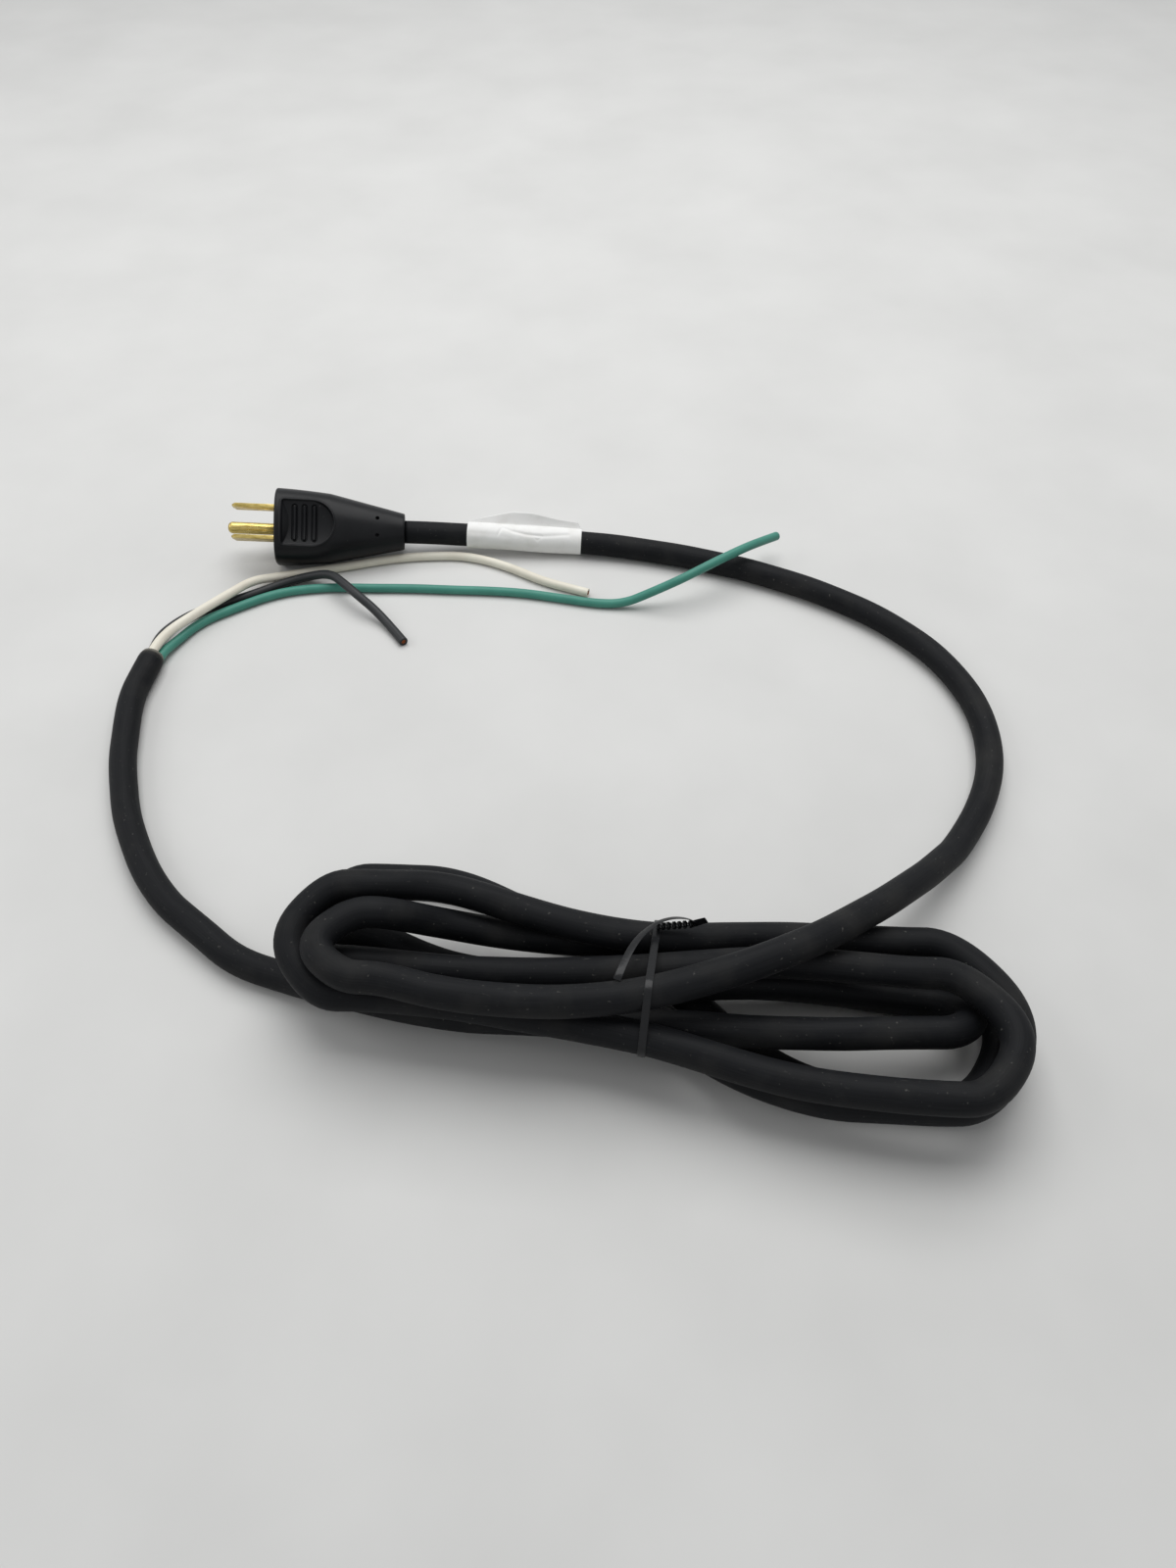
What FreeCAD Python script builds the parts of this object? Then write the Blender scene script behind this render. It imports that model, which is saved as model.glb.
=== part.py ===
import FreeCAD, Part
import math
import os

# Power supply cord, bundled for the shelf: a moulded three-pin plug, a length of round
# three-core rubber cord wound into a flat hank, and three free pigtail leads.
# Millimetres, +Z up, everything lying on the plane z = 0.
# +X runs from the plug's blades towards its cord, and the hank lies along it.

V = FreeCAD.Vector

# ---- the cord: three 14 AWG cores in a round jacket ----
CORE_D = 3.6            # insulation of one core
CORE_GAP = 0.07         # each core's centre, out from where the three cores would touch
CORE_CLEARANCE = 0.05   # round the three cores
JACKET_WALL = 0.7       # jacket left round the three cores
CONDUCTOR_D = 1.9       # bundle of copper strands inside a core
COPPER_SHOWN = 8.0      # depth of the copper modelled in the cut end of a lead
JACKET_END_LENGTH = 10.1    # the open end of the jacket, modelled as a piece of its own
STRAIGHT_OUT = 3.0      # a core past the cut jacket, before it bends away
STRAIGHT_EXIT = 6.0     # the cord out of the plug, before it bends
FLATTENED = 0.5         # off the lowest strands of the hank, which carry the others
CORE_PITCH_R = CORE_D / math.sqrt(3) + CORE_GAP
CORD_D = round(2 * (CORE_PITCH_R + CORE_D / 2 + CORE_CLEARANCE + JACKET_WALL), 1)

# ---- the plug: x from the face to the cord, z towards the grip panel ----
PLUG_LENGTH = 52.4
FACE_HALF_WIDTH = 15.6
FACE_TOP = 12.0         # centre line to the grip panel
FACE_BOTTOM = 13.6      # centre line to the side with the ground pin
SHOULDER_X = 22.0       # where the sides stop being nearly parallel
SHOULDER_INWARD = 1.4   # narrower there than at the face, on each side
RING_D = 14.8           # flat ring where the cord comes out
FACE_ROUND = 0.9
RING_ROUND = 0.5

# ---- contacts, to the usual 15 A pattern ----
BLADE_SPACING = 12.7
BLADE_WIDTH = 6.35
BLADE_THICK = 1.52
BLADE_LENGTH = 17.0
BLADE_BEVEL = 1.3
PIN_D = 4.8
PIN_LENGTH = 20.6
PIN_TO_BLADES = 11.9
BLADE_Z = 6.4           # centre line to the middle of the blades
SHOULDER_DEPTH = 1.5    # full blade width carried into the face
PIN_SEAT = 0.1          # full pin diameter carried into the face
TANG_WIDTH = 3.0
BARREL_WALL = 0.75
BARREL_X = 9.5
BARREL_LENGTH = 6.0
STRANDS_SHOWN = 2.0     # bare strands between a barrel and its core's insulation
JACKET_IN_PLUG = 16.4   # how far the jacket goes into the moulding
BRIDGE_X = 1.5
BRIDGE_THICK = 4.5
BRIDGE_ROUND = 2.0
BRIDGE_BESIDE = 3.6     # past the middle of a blade or of the pin
BRIDGE_ABOVE = 0.2      # past the edge of a blade's tang

# ---- grip panel ----
PANEL_X = 3.0
PANEL_LENGTH = 21.0
PANEL_HALF_WIDTH = 9.2
PANEL_DEPTH = 3.0       # at the middle of the scooped floor
PANEL_SCOOP_R = 40.0
LIP_WIDTH = 0.9
LIP_RISE = 0.35
RIB_COUNT = 3
RIB_X = 8.1
RIB_PITCH = 3.95
RIB_LENGTH = 14.3
RIB_WIDTH = 1.3
RIB_RISE = 0.5
GROOVE_SIDE = 0.45
GROOVE_DEPTH = 0.5
VENT_D = 1.3
VENT_TO_RING = 11.0
VENT_SPACING = 7.0
VENT_DEPTH = 4.0

# ---- how the object lies ----
# The points below are for a 9.4 mm cord with 3.6 mm cores. A thicker one spreads them.
LAY = max(CORD_D / 9.4, CORE_D / 3.6)
MIDDLE = V(-0.5, -1.2, 0) * LAY     # of everything, on the floor: the origin goes here
PLUG_AT = V(-116.75, 122.9, 0) * LAY
PLUG_LIFT = 0.02        # space under the lowest point of the plug
PLUG_YAW = 4.1          # degrees about z
PLUG_PITCH = 6.1        # nose up, the cord end down
PLUG_ROLL = 41.0        # grip panel tipped back to this angle from straight up

# ---- label and tie ----
LABEL_START = 4.5       # along the straight run of cord that carries it
LABEL_LENGTH = 48.0
LABEL_GAP = 0.3
LABEL_THICK = 0.25
FLAG_HEIGHT = 6.5
FLAG_PEAK = 19.0
FLAG_SHOULDER = 36.0
FLAG_SHOULDER_SHARE = 0.62
FLAG_LEAN = 35.0        # degrees back from straight up
TIE_X = 29.6
TIE_Y = -104.0
TIE_SKEW = 8.5          # degrees off square to the hank
TIE_WIDTH = 2.2
TIE_THICK = 0.45
TIE_GAP = 0.3
TWIST_TURNS = 2.5       # where the tie's two ends are wrung together
TWIST_THICK = 1.3

# ---- free stretches, as points that the cord's runs go to ----
TAIL = [
    V(-156.8, 46.6, 4.7), V(-158.2, 36.0, 4.7), V(-156.2, 19.0, 4.7), V(-153.0, 0.5, 4.7),
    V(-144.3, -26.8, 4.7), V(-128.0, -54.7, 4.7), V(-111.1, -68.8, 4.7)]
LEAD = [
    V(-43.0, 128.2, 7.95), V(10.0, 126.2, 5.3), V(33.0, 122.6, 4.7), V(57.0, 116.2, 4.7),
    V(81.0, 107.7, 4.7), V(106.0, 95.0, 4.7), V(128.5, 78.8, 4.7), V(146.2, 58.2, 4.7),
    V(156.0, 34.5, 4.7), V(157.4, 10.5, 4.7), V(151.0, -13.0, 4.7), V(134.6, -38.94, 7.76),
    V(126.6, -47.5, 11.6)]
WHITE = [
    V(-151.6, 68.6, 6.8), V(-146.0, 76.2, 6.5), V(-139.0, 84.4, 6.4), V(-132.2, 91.8, 6.4),
    V(-125.3, 100.8, 5.4), V(-117.2, 106.4, 2.6), V(-106.0, 110.4, 1.8), V(-89.7, 114.1, 1.8),
    V(-71.0, 119.5, 1.8), V(-55.0, 121.4, 1.8), V(-38.9, 121.4, 1.8),
    V(-22.6, 115.1, 1.8), V(-6.5, 104.8, 1.8), V(4.6, 100.4, 1.8), V(12.3, 97.4, 1.8)]
GREEN = [
    V(-149.9, 67.1, 2.3), V(-142.9, 79.4, 1.8), V(-130.8, 87.9, 1.8),
    V(-114.8, 97.6, 1.8), V(-96.7, 100.9, 1.8), V(-78.3, 100.4, 1.8), V(-60.0, 100.3, 1.8),
    V(-44.0, 99.3, 1.8), V(-28.6, 98.7, 1.8), V(-14.4, 97.4, 1.8), V(0.6, 94.2, 1.8),
    V(14.9, 90.9, 1.8), V(26.7, 90.2, 2.2), V(37.8, 91.6, 6.9), V(50.6, 93.6, 12.6),
    V(62.8, 100.5, 14.8), V(75.4, 109.6, 14.8), V(84.2, 117.5, 12.5), V(91.4, 124.8, 9.5)]
BLACK = [
    V(-159.2, 71.4, 2.8), V(-156.0, 81.4, 1.8), V(-147.6, 87.0, 1.8),
    V(-134.8, 91.4, 1.8), V(-123.0, 97.4, 1.8), V(-113.6, 103.4, 2.0), V(-104.0, 106.6, 2.8),
    V(-93.4, 103.2, 7.4), V(-86.8, 96.4, 7.7), V(-80.4, 89.4, 7.4), V(-73.6, 84.4, 4.6),
    V(-66.8, 77.4, 1.8), V(-60.3, 67.9, 1.8)]
TIE_TWIST = [V(32.2, -85.6, 31.3), V(43.2, -85.2, 32.2)]
TIE_LOOP = [
    V(32.2, -85.4, 31.6), V(33.2, -84.4, 34.6), V(37.6, -83.4, 36.0), V(42.0, -84.2, 34.8),
    V(43.0, -85.0, 32.4)]
TIE_TAIL_SHORT = [V(42.6, -85.2, 32.1), V(44.4, -85.0, 33.0), V(46.4, -85.3, 34.5)]
TIE_TAIL_LONG = [
    V(32.4, -85.7, 31.6), V(30.0, -87.4, 33.4), V(27.5, -90.4, 34.8), V(24.9, -94.8, 36.0),
    V(22.7, -100.2, 37.2), V(20.5, -106.1, 38.2)]

# ---- the hank ----
# Nine passes lie side by side along x between a left and a right bend. Each row gives one
# pass from left to right as (y, z) at its left bend, at the four stations, and at its
# right bend; the first pass starts at HANK_LEFT and the last one leaves over the top.
STATIONS = (-30, 0, 30, 68)
HANK_LEFT = -60
BENDS = (
    (109, 124), (-56, -71), (106, 131), (-53, -74.5),
    (105, 136), (-53, -75), (110, 134), (-46, -65))
PASSES = (
    ((-97, 13.5), (-102.5, 9.5), (-105, 11.5), (-109, 16.6), (-113.5, 18.5), (-112, 17)),
    ((-70, 12), (-83, 4.2), (-87.5, 6), (-97, 17.2), (-92.5, 12), (-94.5, 4.2)),
    ((-90, 20), (-89, 12.5), (-92.5, 16.5), (-98, 27.5), (-91, 22), (-95.5, 22)),
    ((-103, 22.5), (-103.5, 20), (-110, 21), (-117, 23), (-130, 21), (-136.5, 25.5)),
    ((-70.5, 31), (-64, 21.5), (-76.5, 21.5), (-87.5, 26.8), (-79.5, 17), (-80.5, 15)),
    ((-86, 4.2), (-93, 4.2), (-98, 4.2), (-103, 5.8), (-129.5, 10), (-133.5, 13.5)),
    ((-46.5, 4.2), (-49, 4.2), (-66.5, 4.2), (-80, 5.8), (-122, 4.2), (-126.5, 4.2)),
    ((-81, 32), (-73.5, 14), (-76.5, 10), (-82, 18.2), (-83, 4.5), (-76.5, 4.2)),
    ((-103.5, 33), (-108, 29.5), (-111.5, 32), (-109, 32.5), (-98, 36.5)))
HANK_ENTRY = [V(-111.1, -68.8, 4.7), V(-96.5, -80.98, 4.7), V(-78.7, -87.3, 4.9)]
HANK_EXIT = [V(94.3, -78.0, 26.0), V(116.6, -58.2, 16.4), V(126.6, -47.5, 11.6)]


def unit(vector):
    return vector * (1.0 / vector.Length)


def laid(points, low=0.0):
    """Points spread for the cord's own size, and none of them nearer the floor than low."""
    return [V(p.x * LAY, p.y * LAY, max(p.z * LAY, low)) for p in points]


def box(x0, x1, y0, y1, z0, z1):
    return Part.makeBox(x1 - x0, y1 - y0, z1 - z0, V(x0, y0, z0))


def rod(start, end, diameter):
    return Part.makeCylinder(diameter / 2, (end - start).Length, start, end - start)


def fused(shapes):
    shape = shapes[0].multiFuse(shapes[1:]) if len(shapes) > 1 else shapes[0]
    return shape.removeSplitter()


# ---------------------------------------------------------------- cords

def smooth_path(points):
    """Straight runs joined by tangent arcs, each as large as its two runs allow."""
    edges = []
    radii = []
    here = points[0]
    for before, corner, after in zip(points, points[1:], points[2:]):
        into = unit(corner - before)
        out = unit(after - corner)
        half_turn = into.getAngle(out) / 2
        reach = 0.45 * min((corner - before).Length, (after - corner).Length)
        radius = reach / math.tan(half_turn)
        radii.append(radius)
        start = corner - into * reach
        end = corner + out * reach
        middle = corner + unit(out - into) * (radius / math.cos(half_turn) - radius)
        edges.append(Part.LineSegment(here, start).toShape())
        edges.append(Part.Arc(start, middle, end).toShape())
        here = end
    edges.append(Part.LineSegment(here, points[-1]).toShape())
    return edges, min(radii)


def circle_at(point, direction, diameter):
    return Part.Wire([Part.makeCircle(diameter / 2, point, direction)])


def pipe(edges, diameter):
    """A round solid along straight runs and tangent arcs: one cylinder or torus for each."""
    at = edges[0].valueAt(edges[0].FirstParameter)
    heading = edges[0].tangentAt(edges[0].FirstParameter)
    ring = Part.makeCircle(diameter / 2, at, heading)
    faces = [Part.Face(Part.Wire([ring]))]
    for edge in edges:
        if isinstance(edge.Curve, Part.Circle):
            # the axis comes from the heading, so that each torus meets the last face squarely
            out = edge.tangentAt(edge.LastParameter)
            axis = unit(heading.cross(out))
            centre = at + axis.cross(heading) * edge.Curve.Radius
            degrees = math.degrees(heading.getAngle(out))
            turn = FreeCAD.Rotation(axis, degrees)
            faces.append(ring.revolve(centre, axis, degrees))
            ring = ring.rotated(centre, axis, degrees)
            at = centre + turn.multVec(at - centre)
            heading = turn.multVec(heading)
        else:
            step = heading * edge.Length
            faces.append(ring.extrude(step))
            ring = ring.translated(step)
            at = at + step
    faces.append(Part.Face(Part.Wire([ring])))
    skin = Part.makeShell(faces)
    skin.sewShape()
    solid = Part.makeSolid(skin)
    if solid.Volume < 0:
        solid.reverse()
    return solid


def run(edges):
    """How long a path is."""
    return sum(edge.Length for edge in edges)


def tube(name, points, diameter):
    """One free stretch of cord or lead, checked by its volume."""
    edges, radius = smooth_path(points)
    solid = pipe(edges, diameter)
    expected = math.pi * diameter ** 2 / 4 * run(edges)
    print("%-12s length %6.1f  least radius %5.1f  volume ratio %.4f" % (
        name, run(edges), radius, solid.Volume / expected))
    return solid


# ---------------------------------------------------------------- hank

def bend_points(start, end, at_x, reach):
    """Three points round half a turn, from one pass's end to the next one's start."""
    points = []
    for degrees in (30, 90, 150):
        angle = math.radians(degrees)
        share = math.cos(angle) / math.cos(math.radians(30))
        out = math.sin(angle) / math.cos(math.radians(30))
        middle = start * (0.5 + 0.5 * share) + end * (0.5 - 0.5 * share)
        points.append(V(at_x + (reach - at_x) * out, middle.y, middle.z))
    return points


def hank_points():
    """Every point of the hank's route, from the tail's side to the plug's side."""
    runs = []
    for index, heights in enumerate(PASSES):
        left = HANK_LEFT if index == 0 else BENDS[index - 1 if index % 2 == 0 else index][0]
        places = [left] + list(STATIONS)
        if index < len(BENDS):
            places.append(BENDS[index if index % 2 == 0 else index - 1][0])
        run = [V(x, y, z) for x, (y, z) in zip(places, heights)]
        runs.append(run if index % 2 == 0 else run[::-1])
    points = list(HANK_ENTRY)
    for index, run in enumerate(runs):
        points += run
        if index < len(BENDS):
            points += bend_points(run[-1], runs[index + 1][0], *BENDS[index])
    return laid(points + HANK_EXIT, CORD_D / 2 - FLATTENED)


def rounded(start, corner, end):
    """From start to end round their corner: one tangent arc, and a straight run if one is left."""
    into = unit(corner - start)
    out = unit(end - corner)
    half_turn = into.getAngle(out) / 2
    first = (corner - start).Length
    second = (end - corner).Length
    reach = min(first, second)
    radius = reach / math.tan(half_turn)
    one = corner - into * reach
    two = corner + out * reach
    middle = corner + unit(out - into) * (radius / math.cos(half_turn) - radius)
    edges = [Part.Arc(one, middle, two).toShape()]
    if first - reach > 0.01:
        edges.insert(0, Part.LineSegment(start, one).toShape())
    if second - reach > 0.01:
        edges.append(Part.LineSegment(two, end).toShape())
    return edges, radius


def hank_path():
    """Straight for one diameter at both ends, and rounded from run to run between."""
    points = hank_points()
    middles = [(a + b) * 0.5 for a, b in zip(points, points[1:])]
    middles[0] = points[0] + unit(points[1] - points[0]) * CORD_D
    middles[-1] = points[-1] - unit(points[-1] - points[-2]) * CORD_D
    edges = [Part.LineSegment(points[0], middles[0]).toShape()]
    radii = []
    for start, corner, end in zip(middles, points[1:], middles[1:]):
        arcs, radius = rounded(start, corner, end)
        edges += arcs
        radii.append(radius)
    edges.append(Part.LineSegment(middles[-1], points[-1]).toShape())
    return edges, min(radii)


def least_gap(edges, diameter, step=1.5):
    """Smallest space between stretches of one path that are not neighbours along it."""
    path = Part.Wire(edges)
    samples = path.discretize(Number=int(path.Length / step))
    spacing = path.Length / (len(samples) - 1)
    skip = int(2.6 * diameter / spacing)
    least = 1e9
    for index, here in enumerate(samples):
        for there in samples[index + skip:]:
            gap = (here - there).Length
            if gap < least:
                least = gap
    return least - diameter


def crossings(edges, origin, normal):
    """Where a path goes through a plane, with the slant of each crossing."""
    found = []
    path = Part.Wire(edges)
    samples = path.discretize(Number=int(path.Length / 2))
    for here, there in zip(samples, samples[1:]):
        one = (here - origin).dot(normal)
        two = (there - origin).dot(normal)
        if one * two < 0:
            point = here + (there - here) * (one / (one - two))
            found.append((point, abs(unit(there - here).dot(normal))))
    return found


# ---------------------------------------------------------------- plug

def plug_widths(x):
    """Half width, panel side and pin side of the plug's section at x."""
    ring = RING_D / 2
    shoulder = FACE_HALF_WIDTH - SHOULDER_INWARD
    if x <= SHOULDER_X:
        share = x / SHOULDER_X
        half = FACE_HALF_WIDTH - SHOULDER_INWARD * share ** 1.6
        top = FACE_TOP - 0.3 * share
        bottom = FACE_BOTTOM - 3.4 * share
        return half, top, bottom, 2.5 - 0.2 * share
    share = (x - SHOULDER_X) / (PLUG_LENGTH - SHOULDER_X)
    half = shoulder + (ring - shoulder) * share
    top = FACE_TOP - 0.3 + (ring - FACE_TOP + 0.3) * share ** 1.15
    bottom = FACE_BOTTOM - 3.4 + (ring - FACE_BOTTOM + 3.4) * share ** 0.9
    return half, top, bottom, 2.3 - 0.3 * share


def plug_section(x, grow=0.0):
    """A closed outline: a superellipse, deeper on the pin side than on the panel side."""
    half, top, bottom, power = plug_widths(x)
    points = []
    steps = 24
    for step in range(steps):
        angle = 2 * math.pi * step / steps
        c, s = math.cos(angle), math.sin(angle)
        height = (top if s > 0 else bottom) + grow
        y = (half + grow) * math.copysign(abs(c) ** (2 / power), c)
        z = height * math.copysign(abs(s) ** (2 / power), s)
        points.append(V(x, y, z))
    curve = Part.BSplineCurve()
    curve.interpolate(Points=points, PeriodicFlag=True)
    return Part.Wire([curve.toShape()])


def plug_loft(grow=0.0):
    taper = PLUG_LENGTH - SHOULDER_X
    places = [SHOULDER_X * share for share in (0, 0.35, 0.7, 1)]
    places += [SHOULDER_X + taper * share for share in (0.16, 0.4, 0.7, 1)]
    return Part.makeLoft([plug_section(x, grow) for x in places], True, False)


def panel_outline(grow, z0, z1):
    """The D of the grip panel, round towards the cord, as an upright prism."""
    half = PANEL_HALF_WIDTH + grow
    x0 = PANEL_X - grow
    centre_x = PANEL_X + PANEL_LENGTH - PANEL_HALF_WIDTH
    corner = 1.2 + grow
    points = [V(x0, half - corner, z0), V(x0, corner - half, z0)]
    k = corner * (1 - math.sqrt(0.5))
    edges = [
        Part.LineSegment(points[0], points[1]),
        Part.Arc(points[1], V(x0 + k, -half + k, z0), V(x0 + corner, -half, z0)),
        Part.LineSegment(V(x0 + corner, -half, z0), V(centre_x, -half, z0)),
        Part.Arc(V(centre_x, -half, z0), V(centre_x + half, 0, z0), V(centre_x, half, z0)),
        Part.LineSegment(V(centre_x, half, z0), V(x0 + corner, half, z0)),
        Part.Arc(V(x0 + corner, half, z0), V(x0 + k, half - k, z0), points[0])]
    wire = Part.Wire([edge.toShape() for edge in edges])
    return Part.Face(wire).extrude(V(0, 0, z1 - z0))


def scoop(rise):
    """The round bottomed space above the panel's floor, lifted by rise."""
    floor = FACE_TOP - PANEL_DEPTH + rise
    start = V(PANEL_X - 20, 0, floor + PANEL_SCOOP_R + 0.5)
    along = V(1, 0, -0.03)
    return Part.makeCylinder(PANEL_SCOOP_R, 60, start, along)


def pill(x, length, width, z0, z1):
    """An upright prism with round ends, long across the plug."""
    half = (length - width) / 2
    r = width / 2
    edges = [
        Part.LineSegment(V(x - r, -half, z0), V(x - r, half, z0)),
        Part.Arc(V(x - r, half, z0), V(x, half + r, z0), V(x + r, half, z0)),
        Part.LineSegment(V(x + r, half, z0), V(x + r, -half, z0)),
        Part.Arc(V(x + r, -half, z0), V(x, -half - r, z0), V(x - r, -half, z0))]
    wire = Part.Wire([edge.toShape() for edge in edges])
    return Part.Face(wire).extrude(V(0, 0, z1 - z0))


def contact_places():
    """Each contact's name, y and z in the plug."""
    return (
        ("line", BLADE_SPACING / 2, BLADE_Z),
        ("neutral", -BLADE_SPACING / 2, BLADE_Z),
        ("ground", 0.0, BLADE_Z - PIN_TO_BLADES))


def barrel(y, z):
    """The crimp that grips a core's bared strands, behind a blade or the pin."""
    end = V(BARREL_X + BARREL_LENGTH, y, z)
    outer = rod(V(BARREL_X, y, z), end, CONDUCTOR_D + 2 * BARREL_WALL)
    return outer.cut(rod(V(BARREL_X + 1, y, z), end, CONDUCTOR_D))


def blade(y, z):
    half = BLADE_WIDTH / 2
    t = BLADE_THICK / 2
    tip = box(-BLADE_LENGTH, SHOULDER_DEPTH, y - t, y + t, z - half, z + half)
    nose = -BLADE_LENGTH
    for side in (-1, 1):
        corner = [V(nose, y - t, z + side * half),
                  V(nose + BLADE_BEVEL, y - t, z + side * half),
                  V(nose, y - t, z + side * (half - BLADE_BEVEL))]
        tip = tip.cut(Part.Face(Part.makePolygon(corner + corner[:1])).extrude(V(0, 2 * t, 0)))
        flat = [V(nose, y + side * t, z - half),
                V(nose + BLADE_BEVEL, y + side * t, z - half),
                V(nose, y + side * t * 0.4, z - half)]
        tip = tip.cut(Part.Face(Part.makePolygon(flat + flat[:1])).extrude(V(0, 0, 2 * half)))
    tang = box(SHOULDER_DEPTH, BARREL_X, y - t, y + t, z - TANG_WIDTH / 2, z + TANG_WIDTH / 2)
    return fused([tip, tang, barrel(y, z)])


def ground_pin(y, z):
    r = PIN_D / 2
    nose = 0.8 * r
    outline = [
        Part.LineSegment(V(-PIN_LENGTH + nose, 0, r), V(PIN_SEAT, 0, r)),
        Part.LineSegment(V(PIN_SEAT, 0, r), V(PIN_SEAT, 0, 0)),
        Part.LineSegment(V(PIN_SEAT, 0, 0), V(-PIN_LENGTH, 0, 0)),
        Part.LineSegment(V(-PIN_LENGTH, 0, 0), V(-PIN_LENGTH, 0, r * 0.35)),
        Part.Arc(V(-PIN_LENGTH, 0, r * 0.35), V(-PIN_LENGTH + nose * 0.3, 0, r * 0.78),
                 V(-PIN_LENGTH + nose, 0, r))]
    face = Part.Face(Part.Wire([edge.toShape() for edge in outline]))
    pin = face.revolve(V(0, 0, 0), V(1, 0, 0), 360)
    pin.translate(V(0, y, z))
    tang = rod(V(0, y, z), V(BARREL_X, y, z), TANG_WIDTH)
    return fused([pin, tang, barrel(y, z)])


def bridge(contacts):
    """The inner moulding that holds the three contacts at their spacing."""
    half = BLADE_SPACING / 2 + BRIDGE_BESIDE
    block = box(BRIDGE_X, BRIDGE_X + BRIDGE_THICK, -half, half,
                BLADE_Z - PIN_TO_BLADES - BRIDGE_BESIDE, BLADE_Z + TANG_WIDTH / 2 + BRIDGE_ABOVE)
    upright = [edge for edge in block.Edges if edge.BoundBox.XLength > BRIDGE_THICK / 2]
    block = block.makeFillet(BRIDGE_ROUND, upright)
    for contact in contacts:
        block = block.cut(contact)
    return block


def inner_core(y, z, degrees):
    """A core's straight way from its crimp to its place in the jacket."""
    x = BARREL_X + BARREL_LENGTH + STRANDS_SHOWN
    angle = math.radians(degrees)
    end = V(PLUG_LENGTH - JACKET_IN_PLUG,
            CORE_PITCH_R * math.sin(angle), CORE_PITCH_R * math.cos(angle))
    start = V(x, y, z)
    return Part.Face(circle_at(start, V(1, 0, 0), CORE_D)).extrude(end - start)


def plug_parts():
    """Everything that the moulding holds, and the moulding, in the plug's own frame."""
    parts = {}
    angles = {"line": 60, "neutral": -60, "ground": 180}
    for name, y, z in contact_places():
        contact = ground_pin(y, z) if name == "ground" else blade(y, z)
        parts["ground_pin" if name == "ground" else "blade_" + name] = contact
    parts["plug_bridge"] = bridge(list(parts.values()))
    strands = BARREL_LENGTH + STRANDS_SHOWN - 1
    for name, y, z in contact_places():
        start = V(BARREL_X + 1, y, z)
        parts["strands_" + name] = rod(start, start + V(strands, 0, 0), CONDUCTOR_D)
        parts["core_" + name] = inner_core(y, z, angles[name])
    parts["jacket_in_plug"] = rod(V(PLUG_LENGTH - JACKET_IN_PLUG, 0, 0), V(PLUG_LENGTH, 0, 0), CORD_D)
    body = plug_loft()
    lip = plug_loft(LIP_RISE).common(
        panel_outline(LIP_WIDTH, 0, FACE_TOP + 5).cut(panel_outline(0, 0, FACE_TOP + 5)))
    face_edges = [edge for edge in body.Edges if edge.BoundBox.XMax < 0.01]
    ring_edges = [edge for edge in body.Edges if edge.BoundBox.XMin > PLUG_LENGTH - 0.01]
    body = body.makeFillet(FACE_ROUND, face_edges)
    body = body.makeFillet(RING_ROUND, [
        edge for edge in body.Edges if edge.BoundBox.XMin > PLUG_LENGTH - 0.01])
    body = body.fuse(lip)
    panel = panel_outline(0, 2, FACE_TOP + 5).common(scoop(0))
    body = body.cut(panel)
    for index in range(RIB_COUNT):
        x = RIB_X + RIB_PITCH * index
        groove = pill(x, RIB_LENGTH + 2 * GROOVE_SIDE, RIB_WIDTH + 2 * GROOVE_SIDE, 2, FACE_TOP)
        body = body.cut(groove.common(scoop(-GROOVE_DEPTH)))
        rib = pill(x, RIB_LENGTH, RIB_WIDTH, FACE_TOP - PANEL_DEPTH - 1.5, FACE_TOP)
        body = body.fuse(rib.cut(scoop(RIB_RISE)))
    for side in (-1, 1):
        y = side * VENT_SPACING / 2
        x = PLUG_LENGTH - VENT_TO_RING
        body = body.cut(rod(V(x, y, VENT_DEPTH), V(x, y, FACE_TOP), VENT_D))
    for held in parts.values():
        body = body.cut(held)
    parts["plug_body"] = body
    return parts


def plug_placement(body):
    """Turned as it lies, and lifted until the moulding just clears the floor."""
    turn = FreeCAD.Rotation(V(0, 0, 1), PLUG_YAW)
    turn = turn.multiply(FreeCAD.Rotation(V(0, 1, 0), PLUG_PITCH))
    turn = turn.multiply(FreeCAD.Rotation(V(1, 0, 0), PLUG_ROLL))
    turned = body.copy()
    turned.Placement = FreeCAD.Placement(PLUG_AT, turn)
    lift = PLUG_LIFT - turned.optimalBoundingBox(False).ZMin
    print("plug lies %.2f above the floor" % lift)
    return FreeCAD.Placement(PLUG_AT + V(0, 0, lift), turn)


# ---------------------------------------------------------------- leads, label and tie

def cut_end():
    """Where the jacket's open end starts, and the way it points: on from the tail's last run."""
    start, before = laid(TAIL[:2], CORD_D / 2)
    return start, unit(start - before)


def lead_parts(name, degrees, points):
    """One insulated core from inside the jacket to its cut end, and the copper in it."""
    start, along = cut_end()
    angle = math.radians(degrees)
    side = V(along.y, -along.x, 0)
    start += (V(0, 0, 1) * math.cos(angle) + side * math.sin(angle)) * CORE_PITCH_R
    straight = start + along * (JACKET_END_LENGTH + STRAIGHT_OUT)
    points = [start, straight] + laid(points, CORE_D / 2)
    insulation = tube("lead_" + name, points, CORE_D)
    end = points[-1]
    back = unit(points[-2] - end)
    copper = rod(end + back * COPPER_SHOWN, end, CONDUCTOR_D)
    return insulation.cut(copper), copper


def jacket_end():
    """The last of the jacket, open, where the three cores come out of it."""
    start, along = cut_end()
    end = start + along * JACKET_END_LENGTH
    outer = rod(start, end, CORD_D)
    far = [edge for edge in outer.Edges if edge.CenterOfMass.distanceToPoint(end) < 0.1]
    outer = outer.makeChamfer(JACKET_WALL * 0.5, far)
    return outer.cut(rod(start, end + along, CORD_D - 2 * JACKET_WALL))


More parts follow.
